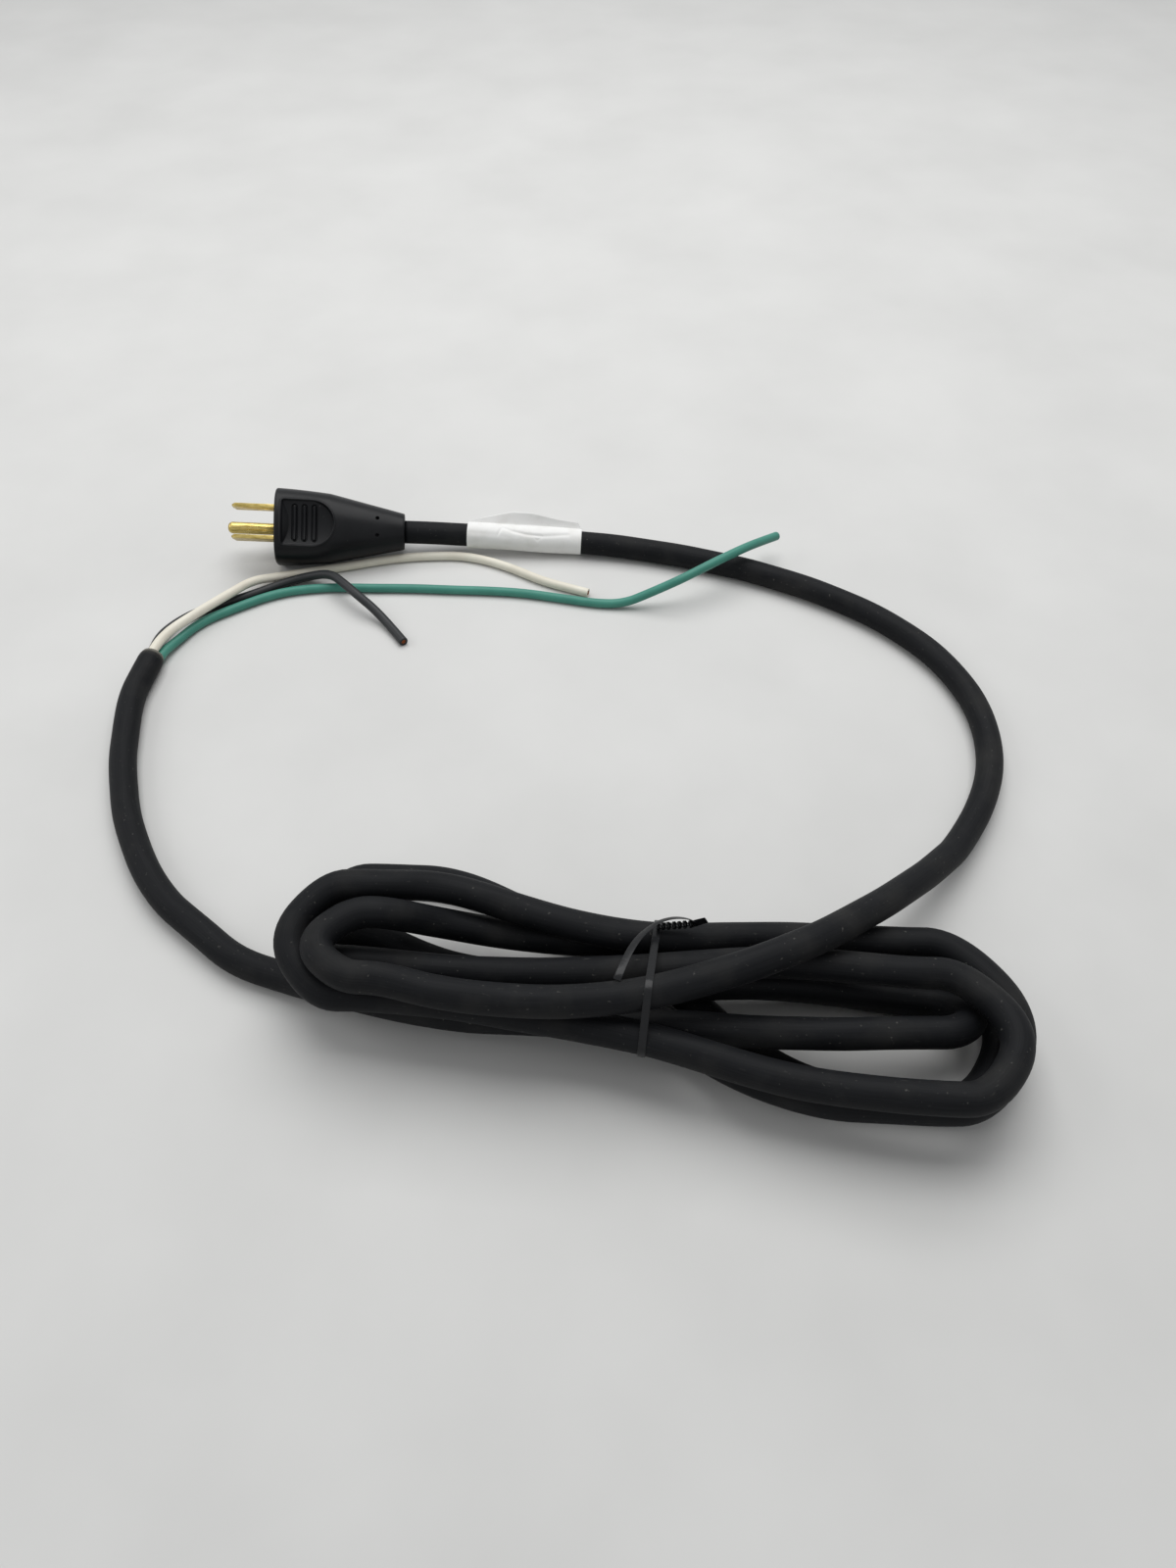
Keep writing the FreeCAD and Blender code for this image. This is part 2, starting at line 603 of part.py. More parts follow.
def label():
    """A paper sleeve round the cord, and the flag where its two ends are stuck together."""
    first, second = laid(LEAD[:2], CORD_D / 2)
    along = unit(second - first)
    start = first + along * LABEL_START
    end = start + along * min(LABEL_LENGTH, (second - first).Length - LABEL_START)
    inner_d = CORD_D + 2 * LABEL_GAP
    outer_d = inner_d + 2 * LABEL_THICK
    sleeve = rod(start, end, outer_d).cut(rod(start, end, inner_d))
    side = unit(V(0, 0, 1).cross(along))
    lean = math.radians(FLAG_LEAN)
    rise = unit(V(0, 0, 1) * math.cos(lean) + side * math.sin(lean))
    across = unit(along.cross(rise))
    foot = inner_d / 2 + LABEL_THICK / 2
    outline = Part.makePolygon([
        start + rise * foot, start + along * FLAG_PEAK + rise * (outer_d / 2 + FLAG_HEIGHT),
        start + along * FLAG_SHOULDER + rise * (outer_d / 2 + FLAG_HEIGHT * FLAG_SHOULDER_SHARE),
        end + rise * foot, start + rise * foot])
    outline.translate(across * (-LABEL_THICK / 2))
    flag = Part.Face(outline).extrude(across * LABEL_THICK)
    return fused([sleeve, flag])


def ring_outline(centres, radius):
    """The outline of a tight band round equal circles, in a plane, as one wire."""
    corners = len(centres)
    edges = []
    outward = []
    for here, there in zip(centres, centres[1:] + centres[:1]):
        along = (there[0] - here[0], there[1] - here[1])
        size = math.hypot(*along)
        outward.append((along[1] / size, -along[0] / size))
    for index in range(corners):
        y, z = centres[index]
        before = outward[index - 1]
        after = outward[index]
        middle = (before[0] + after[0], before[1] + after[1])
        size = math.hypot(*middle)
        one = V(0, y + radius * before[0], z + radius * before[1])
        mid = V(0, y + radius * middle[0] / size, z + radius * middle[1] / size)
        two = V(0, y + radius * after[0], z + radius * after[1])
        edges.append(Part.Arc(one, mid, two).toShape())
        y2, z2 = centres[(index + 1) % corners]
        three = V(0, y2 + radius * after[0], z2 + radius * after[1])
        edges.append(Part.LineSegment(two, three).toShape())
    return Part.Wire(edges)


def hull(points):
    """The outer points of a flat set, anticlockwise."""
    points = sorted(points)

    def half(sequence):
        chain = []
        for point in sequence:
            while len(chain) > 1:
                (ay, az), (by, bz) = chain[-2], chain[-1]
                if (by - ay) * (point[1] - az) - (bz - az) * (point[0] - ay) > 0:
                    break
                chain.pop()
            chain.append(point)
        return chain[:-1]
    return half(points) + half(points[::-1])


def tie_band(edges):
    """A flat ribbon pulled tight round every pass of the hank."""
    turn = FreeCAD.Rotation(V(0, 0, 1), -TIE_SKEW)
    origin = V(TIE_X, TIE_Y, 0) * LAY
    normal = turn.multVec(V(1, 0, 0))
    across = turn.multVec(V(0, 1, 0))
    found = crossings(edges, origin, normal)
    centres = []
    for point, slant in found:
        y = (point - origin).dot(across)
        wider = CORD_D / 2 / slant - CORD_D / 2
        centres += [(y - wider, point.z), (y + wider, point.z)]
    flat = hull(centres)
    radius = CORD_D / 2 + TIE_GAP
    inner = Part.Face(ring_outline(flat, radius))
    outer = Part.Face(ring_outline(flat, radius + TIE_THICK))
    band = outer.cut(inner).extrude(V(TIE_WIDTH, 0, 0))
    band.translate(V(-TIE_WIDTH / 2, 0, 0))
    band.Placement = FreeCAD.Placement(origin, turn).multiply(band.Placement)
    print("tie round %d strands" % len(found))
    return band


def ribbon(points):
    """A loose length of the tie's flat ribbon."""
    points = laid(points)
    path = Part.Wire(smooth_path(points)[0])
    along = unit(points[1] - points[0])
    wide = unit(along.cross(V(0, 0, 1)))
    thin = unit(wide.cross(along))
    a = wide * (TIE_WIDTH / 2)
    b = thin * (TIE_THICK / 2)
    corners = [points[0] + a + b, points[0] - a + b, points[0] - a - b, points[0] + a - b]
    return path.makePipeShell([Part.makePolygon(corners + corners[:1])], True, False)


def twist(start, end):
    """Both ends of the tie wrung together: one flat bar turned about its length."""
    along = unit(end - start)
    sections = []
    steps = int(TWIST_TURNS * 8)
    for step in range(steps + 1):
        turn = FreeCAD.Rotation(along, 180.0 * TWIST_TURNS * step / steps)
        a = turn.multVec(V(0, 0, 1).cross(along)) * (TIE_WIDTH / 2)
        b = turn.multVec(V(0, 0, 1)) * (TWIST_THICK / 2)
        middle = start + (end - start) * (step / steps)
        corners = [middle + a + b, middle - a + b, middle - a - b, middle + a - b]
        sections.append(Part.makePolygon(corners + corners[:1]))
    return Part.makeLoft(sections, True, True)


def twist_tie(edges):
    pieces = [tie_band(edges), twist(*laid(TIE_TWIST))]
    pieces += [ribbon(points) for points in (TIE_LOOP, TIE_TAIL_SHORT, TIE_TAIL_LONG)]
    return fused(pieces)


def main():
    os.makedirs("parts", exist_ok=True)
    nodes = {}
    in_plug = plug_parts()
    place = plug_placement(in_plug["plug_body"])
    for name, shape in in_plug.items():
        shape.Placement = place.multiply(shape.Placement)
        nodes[name] = shape
    exit_point = place.multVec(V(PLUG_LENGTH, 0, 0))
    straight = place.multVec(V(PLUG_LENGTH + STRAIGHT_EXIT, 0, 0))
    lead = [exit_point, straight] + laid(LEAD, CORD_D / 2)
    nodes["cord_lead"] = tube("cord_lead", lead, CORD_D)
    print("cord leaves the plug at (%.1f, %.1f, %.1f)" % tuple(exit_point))
    edges, radius = hank_path()
    hank = pipe(edges, CORD_D)
    expected = math.pi * CORD_D ** 2 / 4 * run(edges)
    print("hank length %.1f  least radius %.1f  volume ratio %.4f  least gap %.2f" % (
        run(edges), radius, hank.Volume / expected, least_gap(edges, CORD_D)))
    nodes["cord_hank"] = hank.cut(box(-300, 300, -300, 300, -50, 0))
    nodes["cord_tail"] = tube("cord_tail", laid(TAIL, CORD_D / 2), CORD_D)
    nodes["jacket_end"] = jacket_end()
    for name, points, degrees in (("white", WHITE, 0), ("green", GREEN, 120), ("black", BLACK, 240)):
        insulation, copper = lead_parts(name, degrees, points)
        nodes["lead_" + name] = insulation
        nodes["copper_" + name] = copper
    nodes["cord_label"] = label()
    nodes["twist_tie"] = twist_tie(edges)
    for name, shape in nodes.items():
        shape.translate(MIDDLE * -1)
        shape.exportStep("parts/%s.step" % name)
        bounds = shape.optimalBoundingBox(False)
        print("%-18s %-9s solids %d  x %7.1f %7.1f  y %7.1f %7.1f  z %5.2f %5.2f" % (
            name, "valid" if shape.isValid() else "BROKEN", len(shape.Solids),
            bounds.XMin, bounds.XMax, bounds.YMin, bounds.YMax, bounds.ZMin, bounds.ZMax))


main()
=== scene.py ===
# %% [markdown]
# # A bundled power supply cord
# The object is a round rubber supply cord with a moulded three-pin plug at one end and three
# free pigtail leads at the other. Most of its length is wound into a flat hank, and a twist tie
# holds that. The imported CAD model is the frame: it gives every place and size. This file makes
# the surfaces that are seen and gives each one its finish.
# The work goes from the camera and the cords, which settle the layout, to the plug, the label
# and the tie, and last to the floor and the light.

# %% Load the frame
import math
import bmesh
import bpy
import numpy as np
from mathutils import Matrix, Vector


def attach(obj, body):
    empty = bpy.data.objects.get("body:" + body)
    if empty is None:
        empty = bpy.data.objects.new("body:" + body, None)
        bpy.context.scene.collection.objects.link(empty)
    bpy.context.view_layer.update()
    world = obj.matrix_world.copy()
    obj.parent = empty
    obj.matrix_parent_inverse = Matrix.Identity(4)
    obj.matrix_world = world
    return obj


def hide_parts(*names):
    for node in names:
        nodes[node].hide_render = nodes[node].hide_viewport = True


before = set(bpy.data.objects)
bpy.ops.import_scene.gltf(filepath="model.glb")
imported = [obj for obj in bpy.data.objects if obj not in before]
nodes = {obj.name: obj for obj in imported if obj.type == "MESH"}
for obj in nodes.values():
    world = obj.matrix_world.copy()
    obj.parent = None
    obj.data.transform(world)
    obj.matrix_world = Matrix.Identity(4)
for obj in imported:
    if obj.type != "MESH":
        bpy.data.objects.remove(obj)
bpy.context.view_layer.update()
print("frame:", len(nodes), "nodes")

# %% [markdown]
# ## Units and points
# The cord's route is written in millimetres, in the CAD source's own axes, because a person can
# check a number such as 128.5 against a ruler. Blender works in metres, and the frame's origin is
# the middle of the object on the floor, so one function does both steps.

# %% From millimetres to the frame
MM = 0.001
MIDDLE = np.array([-0.5, -1.2, 0.0])


def place(points):
    """Points in the CAD source's millimetres become metres in the frame: (p - MIDDLE) / 1000."""
    return (np.asarray(points, dtype=float) - MIDDLE) * MM


def unit(vectors):
    """Each vector divided by its own length."""
    vectors = np.asarray(vectors, dtype=float)
    return vectors / np.linalg.norm(vectors, axis=-1, keepdims=True)


print("the CAD source's origin lies at", place([0, 0, 0]))

# %% [markdown]
# ## The camera
# The view is the one from a person's hand held over a bench: a wide lens close by, looking down
# at the object by about fifty degrees. A wide lens makes the near side of the hank large, so the
# distance matters as much as the angle, and both are fixed before anything is shaped.

# %% Camera
EYE = (12.3, -276.0, 317.0)
LOOKS_DOWN = 49.4
camera_data = bpy.data.cameras.new("camera")
camera_data.sensor_fit = "VERTICAL"
camera_data.sensor_height = 36.0
camera_data.lens = 27.0
camera_data.clip_start = 0.01
camera_data.clip_end = 20.0
camera = bpy.data.objects.new("camera", camera_data)
bpy.context.scene.collection.objects.link(camera)
camera.location = place(EYE)
camera.rotation_euler = (math.radians(90.0 - LOOKS_DOWN), 0.0, 0.0)
bpy.context.scene.camera = camera
print("camera at", [round(v, 3) for v in camera.location])

# %% [markdown]
# ## Sizes that the pieces share
# The cord has three cores under one jacket, and each core has a bundle of strands. The core's
# place follows from its size, because three equal rounds touch when each is d / sqrt(3) from the
# middle.

# %% Shared sizes, in millimetres
CORD_D = 9.4
CORE_D = 3.6
CONDUCTOR_D = 1.9
CORE_ROOM = 0.07            # so that neighbouring cores just clear each other
CORE_PITCH_R = CORE_D / math.sqrt(3) + CORE_ROOM
PLUG_LENGTH = 52.4
JACKET_END_LENGTH = 10.1    # the open end of the jacket, past the tail's first point
STRAIGHT_OUT = 3.0          # straight run of a lead past the cut
STRAIGHT_EXIT = 6.0         # straight run of the cord past the plug
print("cores lie %.2f mm from the cord's middle" % CORE_PITCH_R)

# %% [markdown]
# ## Routes
# Each route is the list of points that a draughtsman would pin down: where the cord changes
# direction. They are the points of the CAD source, except that a few of the hank's and the black
# lead's are moved by up to 4.5 mm, where the smooth line needs it to look right.

# %% Routes of the loose stretches, in millimetres
TAIL = [
    (-156.8, 46.6, 4.7), (-158.2, 36.0, 4.7), (-156.2, 19.0, 4.7), (-153.0, 0.5, 4.7),
    (-144.3, -26.8, 4.7), (-128.0, -54.7, 4.7), (-111.1, -68.8, 4.7)]
LEAD = [
    (-43.0, 128.2, 7.95), (10.0, 126.2, 5.3), (33.0, 122.6, 4.7), (57.0, 116.2, 4.7),
    (81.0, 107.7, 4.7), (106.0, 95.0, 4.7), (128.5, 78.8, 4.7), (146.2, 58.2, 4.7),
    (156.0, 34.5, 4.7), (157.4, 10.5, 4.7), (151.0, -13.0, 4.7), (134.6, -38.94, 7.76),
    (126.6, -47.5, 11.6)]
WHITE = [
    (-151.6, 68.6, 6.8), (-146.0, 76.2, 6.5), (-139.0, 84.4, 6.4), (-132.2, 91.8, 6.4),
    (-125.3, 100.8, 5.4), (-117.2, 106.4, 2.6), (-106.0, 110.4, 1.8), (-89.7, 114.1, 1.8),
    (-71.0, 119.5, 1.8), (-55.0, 121.4, 1.8), (-38.9, 121.4, 1.8),
    (-22.6, 115.1, 1.8), (-6.5, 104.8, 1.8), (4.6, 100.4, 1.8), (12.3, 97.4, 1.8)]
GREEN = [
    (-149.9, 67.1, 2.3), (-142.9, 79.4, 1.8), (-130.8, 87.9, 1.8),
    (-114.8, 97.6, 1.8), (-96.7, 100.9, 1.8), (-78.3, 100.4, 1.8), (-60.0, 100.3, 1.8),
    (-44.0, 99.3, 1.8), (-28.6, 98.7, 1.8), (-14.4, 97.4, 1.8), (0.6, 94.2, 1.8),
    (14.9, 90.9, 1.8), (26.7, 90.2, 2.2), (37.8, 91.6, 6.9), (50.6, 93.6, 12.6),
    (62.8, 100.5, 14.8), (75.4, 109.6, 14.8), (84.2, 117.5, 12.5), (91.4, 124.8, 9.5)]
BLACK = [
    (-156.6, 69.8, 2.8), (-152.8, 78.4, 1.8), (-146.0, 85.2, 1.8),
    (-134.8, 91.4, 1.8), (-123.0, 97.4, 1.8), (-113.6, 103.4, 2.0), (-104.0, 106.6, 2.8),
    (-93.4, 103.2, 7.4), (-86.8, 96.4, 7.7), (-80.4, 89.4, 7.4), (-73.6, 84.4, 4.6),
    (-66.8, 77.4, 1.8), (-60.3, 67.9, 1.8)]
for name, route in (("tail", TAIL), ("lead", LEAD), ("white", WHITE), ("green", GREEN),
                    ("black", BLACK)):
    print("route %s: %d points" % (name, len(route)))

# %% [markdown]
# ### The hank as a table
# The hank is the one part that repeats, so it is a table. Each pass crosses the hank from left to
# right at four stations, and has a (y, z) at each of them and at its own ends. Each bend joins a
# pass to the next one, on the right and on the left in turn.

# %% Hank table, in millimetres
STATIONS = (-30, 0, 30, 68)
HANK_LEFT = -60
# (x where the bend starts, x that it reaches)
BENDS = (
    (109, 124), (-56, -71), (106, 131), (-53, -74.5),
    (105, 136), (-53, -75), (110, 134), (-46, -65))
PASSES = (
    ((-97, 13.5), (-102.5, 9.5), (-105, 11.5), (-109, 16.6), (-113.5, 18.5), (-112, 17)),
    ((-74.5, 12), (-83.5, 4.2), (-87.5, 6), (-97, 17.2), (-92.5, 12), (-94.5, 4.2)),
    ((-90, 20), (-89, 12.5), (-92.5, 16.5), (-98, 27.5), (-91, 22), (-95.5, 22)),
    ((-103, 22.5), (-103.5, 20), (-110, 21), (-117, 23), (-130, 21), (-136.5, 25.5)),
    ((-70.5, 31), (-64, 21.5), (-76.5, 21.5), (-87.5, 26.8), (-79.5, 17), (-80.5, 15)),
    ((-86, 4.2), (-93, 4.2), (-98, 4.2), (-103, 5.8), (-129.5, 10), (-133.5, 13.5)),
    ((-48.5, 4.2), (-49.5, 4.2), (-66.5, 4.2), (-80, 5.8), (-122, 4.2), (-126.5, 4.2)),
    ((-81, 32), (-73.5, 14), (-76.5, 10), (-82, 18.2), (-82, 4.5), (-78.2, 4.2)),
    ((-103.5, 33), (-107.2, 30.4), (-111.5, 32), (-109, 32.5), (-98, 36.5)))
HANK_ENTRY = [(-111.1, -68.8, 4.7), (-96.5, -80.98, 4.7), (-78.7, -87.3, 4.9)]
HANK_EXIT = [(94.3, -78.0, 26.0), (116.6, -58.2, 16.4), (126.6, -47.5, 11.6)]
print("hank: %d passes, %d bends" % (len(PASSES), len(BENDS)))

# %% [markdown]
# ### The hank's loop
# A hand winds a hank in passes that run to and fro. Each bend is half an ellipse in plan, and it
# climbs evenly from the end of one pass to the start of the next. Working the bends out leaves
# only the heights and offsets of the passes to be chosen.

# %% Hank route
def bend_points(start, end, at_x, reach):
    """Three points round half an ellipse, at 30, 90 and 150 degrees.

    Each is start and end mixed by the angle's cosine, and goes out by its sine.
    """
    angles = np.radians([30.0, 90.0, 150.0])
    widest = math.cos(math.radians(30))
    share = (np.cos(angles) / widest)[:, None]
    out = np.sin(angles) / widest
    points = np.asarray(start) * (0.5 + 0.5 * share) + np.asarray(end) * (0.5 - 0.5 * share)
    points[:, 0] = at_x + (reach - at_x) * out
    return points.tolist()


def hank_points():
    """The hank's route from the tail's side to the plug's side, in millimetres."""
    runs = []
    for index, heights in enumerate(PASSES):
        to_the_right = index % 2 == 0
        left_bend, right_bend = (index - 1, index) if to_the_right else (index, index - 1)
        places = [HANK_LEFT if index == 0 else BENDS[left_bend][0]] + list(STATIONS)
        if index < len(BENDS):
            places.append(BENDS[right_bend][0])
        run = [(x, y, z) for x, (y, z) in zip(places, heights)]
        runs.append(run if to_the_right else run[::-1])
    points = list(HANK_ENTRY)
    for index, run in enumerate(runs):
        points += run
        if index < len(BENDS):
            points += bend_points(run[-1], runs[index + 1][0], *BENDS[index])
    return points + HANK_EXIT


print("hank route: %d points" % len(hank_points()))

# %% [markdown]
# ### The plug's place
# The plug lies on its side, tipped up a little by the cord behind it. A roll, a pitch and a yaw
# put it there, in that order. They also give the point where the cord comes out.

# %% The plug's place
PLUG_AT = np.array([-116.75, 122.9, 15.77])
PLUG_YAW, PLUG_PITCH, PLUG_ROLL = (math.radians(a) for a in (4.1, 6.1, 41.0))


def turning(yaw, pitch, roll):
    """The rotation that rolls about x, then pitches about y, then yaws about z."""
    cy, sy, cp, sp, cr, sr = (f(a) for a in (yaw, pitch, roll) for f in (math.cos, math.sin))
    about_z = np.array([[cy, -sy, 0], [sy, cy, 0], [0, 0, 1]])
    about_y = np.array([[cp, 0, sp], [0, 1, 0], [-sp, 0, cp]])
    about_x = np.array([[1, 0, 0], [0, cr, -sr], [0, sr, cr]])
    return about_z @ about_y @ about_x


PLUG_TURN = turning(PLUG_YAW, PLUG_PITCH, PLUG_ROLL)


def from_plug(points):
    """Points in the plug's own millimetres become points of the CAD source."""
    return np.asarray(points, dtype=float) @ PLUG_TURN.T + PLUG_AT


cord_exit = from_plug([PLUG_LENGTH, 0, 0])
print("the cord leaves the plug at", cord_exit.round(1))

# %% [markdown]
# ### One cord, one line
# The jacket is a single extrusion from the plug to the cut end, so it is one line here too, and
# no joint can show between the free stretches and the hank. The lead's last point and the tail's
# last point are also ends of the hank's route, so they are taken once.

# %% The whole route of the jacket
cut_start = np.array(TAIL[0])
cut_along = unit(cut_start - TAIL[1])
cut_side = np.array([cut_along[1], -cut_along[0], 0.0])
jacket_route = [cord_exit.tolist(), from_plug([PLUG_LENGTH + STRAIGHT_EXIT, 0, 0]).tolist()]
jacket_route += LEAD[:-1] + hank_points()[::-1] + TAIL[:-1][::-1]
jacket_route.append((cut_start + cut_along * JACKET_END_LENGTH).tolist())
print("jacket route:", len(jacket_route), "points")


# %% [markdown]
# ## A tube along a line
# A NURBS spline of order 3 draws the smooth line that a stiff cord takes between its points. The
# line is read back as a mesh of points, evened out to one spacing, and a circle is carried along
# it. The circle must not spin as it travels, so each ring's sideways direction is the last
# ring's, made square to the new direction: the parallel transport frame.

# %% Spline and frames
SPLINE_STEPS = 24


def spline_line(name, route, spacing):
    """Points at an even spacing, in metres, along the order 3 NURBS spline of a route."""
    curve = bpy.data.curves.new(name, "CURVE")
    curve.dimensions = "3D"
    curve.resolution_u = SPLINE_STEPS
    spline = curve.splines.new("NURBS")
    spline.points.add(len(route) - 1)
    points = np.ones((len(route), 4))
    points[:, :3] = place(route)
    spline.points.foreach_set("co", points.ravel())
    spline.order_u = 3
    spline.use_endpoint_u = True
    holder = bpy.data.objects.new(name, curve)
    mesh = bpy.data.meshes.new_from_object(holder)
    line = np.empty(len(mesh.vertices) * 3)
    mesh.vertices.foreach_get("co", line)
    bpy.data.objects.remove(holder)
    bpy.data.meshes.remove(mesh)
    bpy.data.curves.remove(curve)
    line = line.reshape(-1, 3)
    along = np.concatenate([[0], np.cumsum(np.linalg.norm(np.diff(line, axis=0), axis=1))])
    count = max(8, int(round(along[-1] / spacing)))
    even = np.linspace(0, along[-1], count + 1)
    return np.column_stack([np.interp(even, along, line[:, axis]) for axis in range(3)])


def travelling_frames(line):
    """Unit directions along, across and up for each point of a line, without any spin."""
    along = unit(np.gradient(line, axis=0))
    up = np.empty_like(along)
    held = np.array([0.0, 0.0, 1.0])
    for index, direction in enumerate(along):
        held = held - direction * held.dot(direction)
        held = held / math.sqrt(held.dot(held))
        up[index] = held
    return along, np.cross(up, along), up


trial = spline_line("trial", [(0, 0, 0), (50, 0, 0), (50, 50, 0)], 1.0 * MM)
print("trial spline: %d points, ends at" % len(trial), trial[-1].round(4))

# %% [markdown]
# ## A mesh from a grid of points
# Every made surface is a grid: rows along the piece and columns round it. One function joins the
# grid to faces. Where a row is drawn in to one point, or a band comes back to its start, the
# points that coincide are welded, so that every skin is closed. The points are computed all at
# once, so there is no loop over them.

# %% Grid faces
WELD = 1e-6     # metres


def grid_faces(rows, columns):
    """Outward quads of a grid closed round its columns; point (i, j) is i * columns + j."""
    i, j = (a.ravel() for a in np.meshgrid(np.arange(rows - 1), np.arange(columns), indexing="ij"))
    j2 = (j + 1) % columns
    return np.column_stack([
        i * columns + j, (i + 1) * columns + j, (i + 1) * columns + j2, i * columns + j2])


print("a 3 by 4 grid has", len(grid_faces(3, 4)), "faces")


# %% [markdown]
# ### From numbers to a mesh
# A mesh takes its points, its corners and its faces as whole arrays, which is far quicker than
# one at a time. A second function adds the map that patterns follow along and round a piece.

# %% Mesh makers
def new_piece(name, points, faces, uv=None, marks=None):
    """A smooth shaded mesh object at the origin, from points, equal sided faces and corner UVs.

    marks names an attribute and gives its value at each point. Points that coincide are welded.
    """
    mesh = bpy.data.meshes.new(name)
    mesh.vertices.add(len(points))
    mesh.vertices.foreach_set("co", np.ascontiguousarray(points, dtype=np.float32).ravel())
    mesh.loops.add(faces.size)
    mesh.loops.foreach_set("vertex_index", faces.ravel().astype(np.int32))
    mesh.polygons.add(len(faces))
    starts = np.arange(0, faces.size, faces.shape[1], dtype=np.int32)
    mesh.polygons.foreach_set("loop_start", starts)
    mesh.polygons.foreach_set("use_smooth", np.ones(len(faces), dtype=bool))
    if uv is not None:
        mesh.uv_layers.new(name="UVMap").uv.foreach_set("vector", uv.astype(np.float32).ravel())
    mesh.update(calc_edges=True)
    if marks is not None:
        mark = mesh.attributes.new(marks[0], "FLOAT", "POINT")
        mark.data.foreach_set("value", marks[1].ravel().astype(np.float32))
    work = bmesh.new()
    work.from_mesh(mesh)
    bmesh.ops.remove_doubles(work, verts=work.verts, dist=WELD)
    work.to_mesh(mesh)
    work.free()
    piece = bpy.data.objects.new(name, mesh)
    bpy.context.scene.collection.objects.link(piece)
    return piece


def grid_piece(name, grid, marks=None):
    """A closed skin from a (rows, columns, 3) grid, whose first and last rows are each one point.

    UVs are metres: u is the distance along column 0 and v is the distance round the widest row.
    """
    rows, columns = grid.shape[:2]
    along = np.linalg.norm(np.diff(grid[:, 0], axis=0), axis=1)
    u = np.concatenate([[0], np.cumsum(along)])
    girth = np.linalg.norm(np.roll(grid, -1, axis=1) - grid, axis=2).sum(axis=1).max()
    i, j = (a.ravel() for a in np.meshgrid(np.arange(rows - 1), np.arange(columns), indexing="ij"))
    us = np.column_stack([u[i], u[i + 1], u[i + 1], u[i]])
    vs = np.column_stack([j, j, j + 1, j + 1]) * girth / columns
    return new_piece(
        name, grid.reshape(-1, 3), grid_faces(rows, columns), np.stack([us, vs], -1), marks)


# %% [markdown]
# ### Rings, caps and profiles
# A tube is rings carried along a line. A cut end needs a profile past the last ring: a list of
# steps along and radii, which can go over an edge and back down inside.

# %% Rings and caps
def capped(grid):
    """The grid with one more row at each end, all of it at the middle of the end row."""
    first, last = (np.repeat(grid[k].mean(axis=0)[None], grid.shape[1], axis=0) for k in (0, -1))
    return np.concatenate([first[None], grid, last[None]])


def rings(line, radius, sides, frames=None):
    """Circles carried along a line: p + r (cos a * up + sin a * across), one row for each p."""
    along, across, up = frames or travelling_frames(line)
    angles = np.linspace(0, 2 * math.pi, sides, endpoint=False)[None, :, None]
    turn = np.cos(angles) * up[:, None, :] + np.sin(angles) * across[:, None, :]
    radius = np.asarray(radius, dtype=float)
    radius = radius[..., None] if radius.ndim == 2 else radius.reshape(-1, 1, 1)
    return line[:, None, :] + radius * turn


def end_rings(line, frames, sides, profile):
    """Rings past the end of a line, one for each (step along, radius) of a profile."""
    along, across, up = (f[-1] for f in frames)
    profile = np.asarray(profile, dtype=float)
    centres = line[-1] + profile[:, :1] * along
    same = tuple(np.repeat(f[None], len(profile), axis=0) for f in (along, across, up))
    return rings(centres, profile[:, 1], sides, same)


print("rings of the trial line:", capped(rings(trial, np.full(len(trial), MM), 8)).shape)

# %% [markdown]
# ## Finishes
# A finish is a small graph of shader nodes. One function adds a node of any kind with its
# settings and its inputs, where an input is a number, a colour or another node's output. Wear,
# dust and grain are all clouds of noise whose two edges decide how much of them shows. Each tone
# is laid over the one below it, as dust lies on rubber. Colours are written as on a paint chart
# and turned to linear light in one place.

# %% Node and colour helpers
def colour(code):
    """A chart colour such as "#8a8a86" in linear light: ((c + 0.055) / 1.055) ** 2.4."""
    parts = np.array([int(code[k:k + 2], 16) for k in (1, 3, 5)]) / 255.0
    linear = np.where(parts <= 0.04045, parts / 12.92, ((parts + 0.055) / 1.055) ** 2.4)
    return tuple(linear.tolist()) + (1.0,)


def feed(tree, target, inputs):
    """Gives each socket that is named or numbered its value, or links another node's output."""
    for socket, value in inputs.items():
        if isinstance(value, bpy.types.NodeSocket):
            tree.links.new(value, target.inputs[socket])
        else:
            target.inputs[socket].default_value = value


def node(tree, kind, inputs, **settings):
    """Adds a shader node with its settings, feeds its inputs and returns it."""
    made = tree.nodes.new("ShaderNode" + kind)
    for name, value in settings.items():
        setattr(made, name, value)
    feed(tree, made, inputs)
    return made


def finish(name, **inputs):
    """A material with one principled shader, and that shader's tree and node."""
    material = bpy.data.materials.new(name)
    material.use_nodes = True
    tree = material.node_tree
    shader = tree.nodes["Principled BSDF"]
    feed(tree, shader, {socket.replace("_", " "): value for socket, value in inputs.items()})
    return material, tree, shader


def clouds(tree, vector, scale, low, high, detail=4.0):
    """Noise of so many features a metre, stretched so that low becomes 0 and high becomes 1."""
    noise = node(tree, "TexNoise", {"Vector": vector, "Scale": scale, "Detail": detail})
    return node(tree, "MapRange", {0: noise.outputs["Fac"], 1: low, 2: high}).outputs[0]


def layer(tree, below, share, most, tone):
    """A tone laid over the colour below it: mixed in by share * most."""
    amount = node(tree, "Math", {0: share, 1: most}, operation="MULTIPLY").outputs[0]
    mixed = node(tree, "Mix", {0: amount, 6: below, 7: colour(tone)}, data_type="RGBA")
    return mixed.outputs[2]


print("mid grey in linear light: %.3f" % colour("#808080")[0])

# %% [markdown]
# ### Dressing a piece
# A made piece gets its finish, a material slot and a body to ride on. The inner pieces of the
# plug can't be seen from outside, so the CAD meshes stay as they are and only change finish.

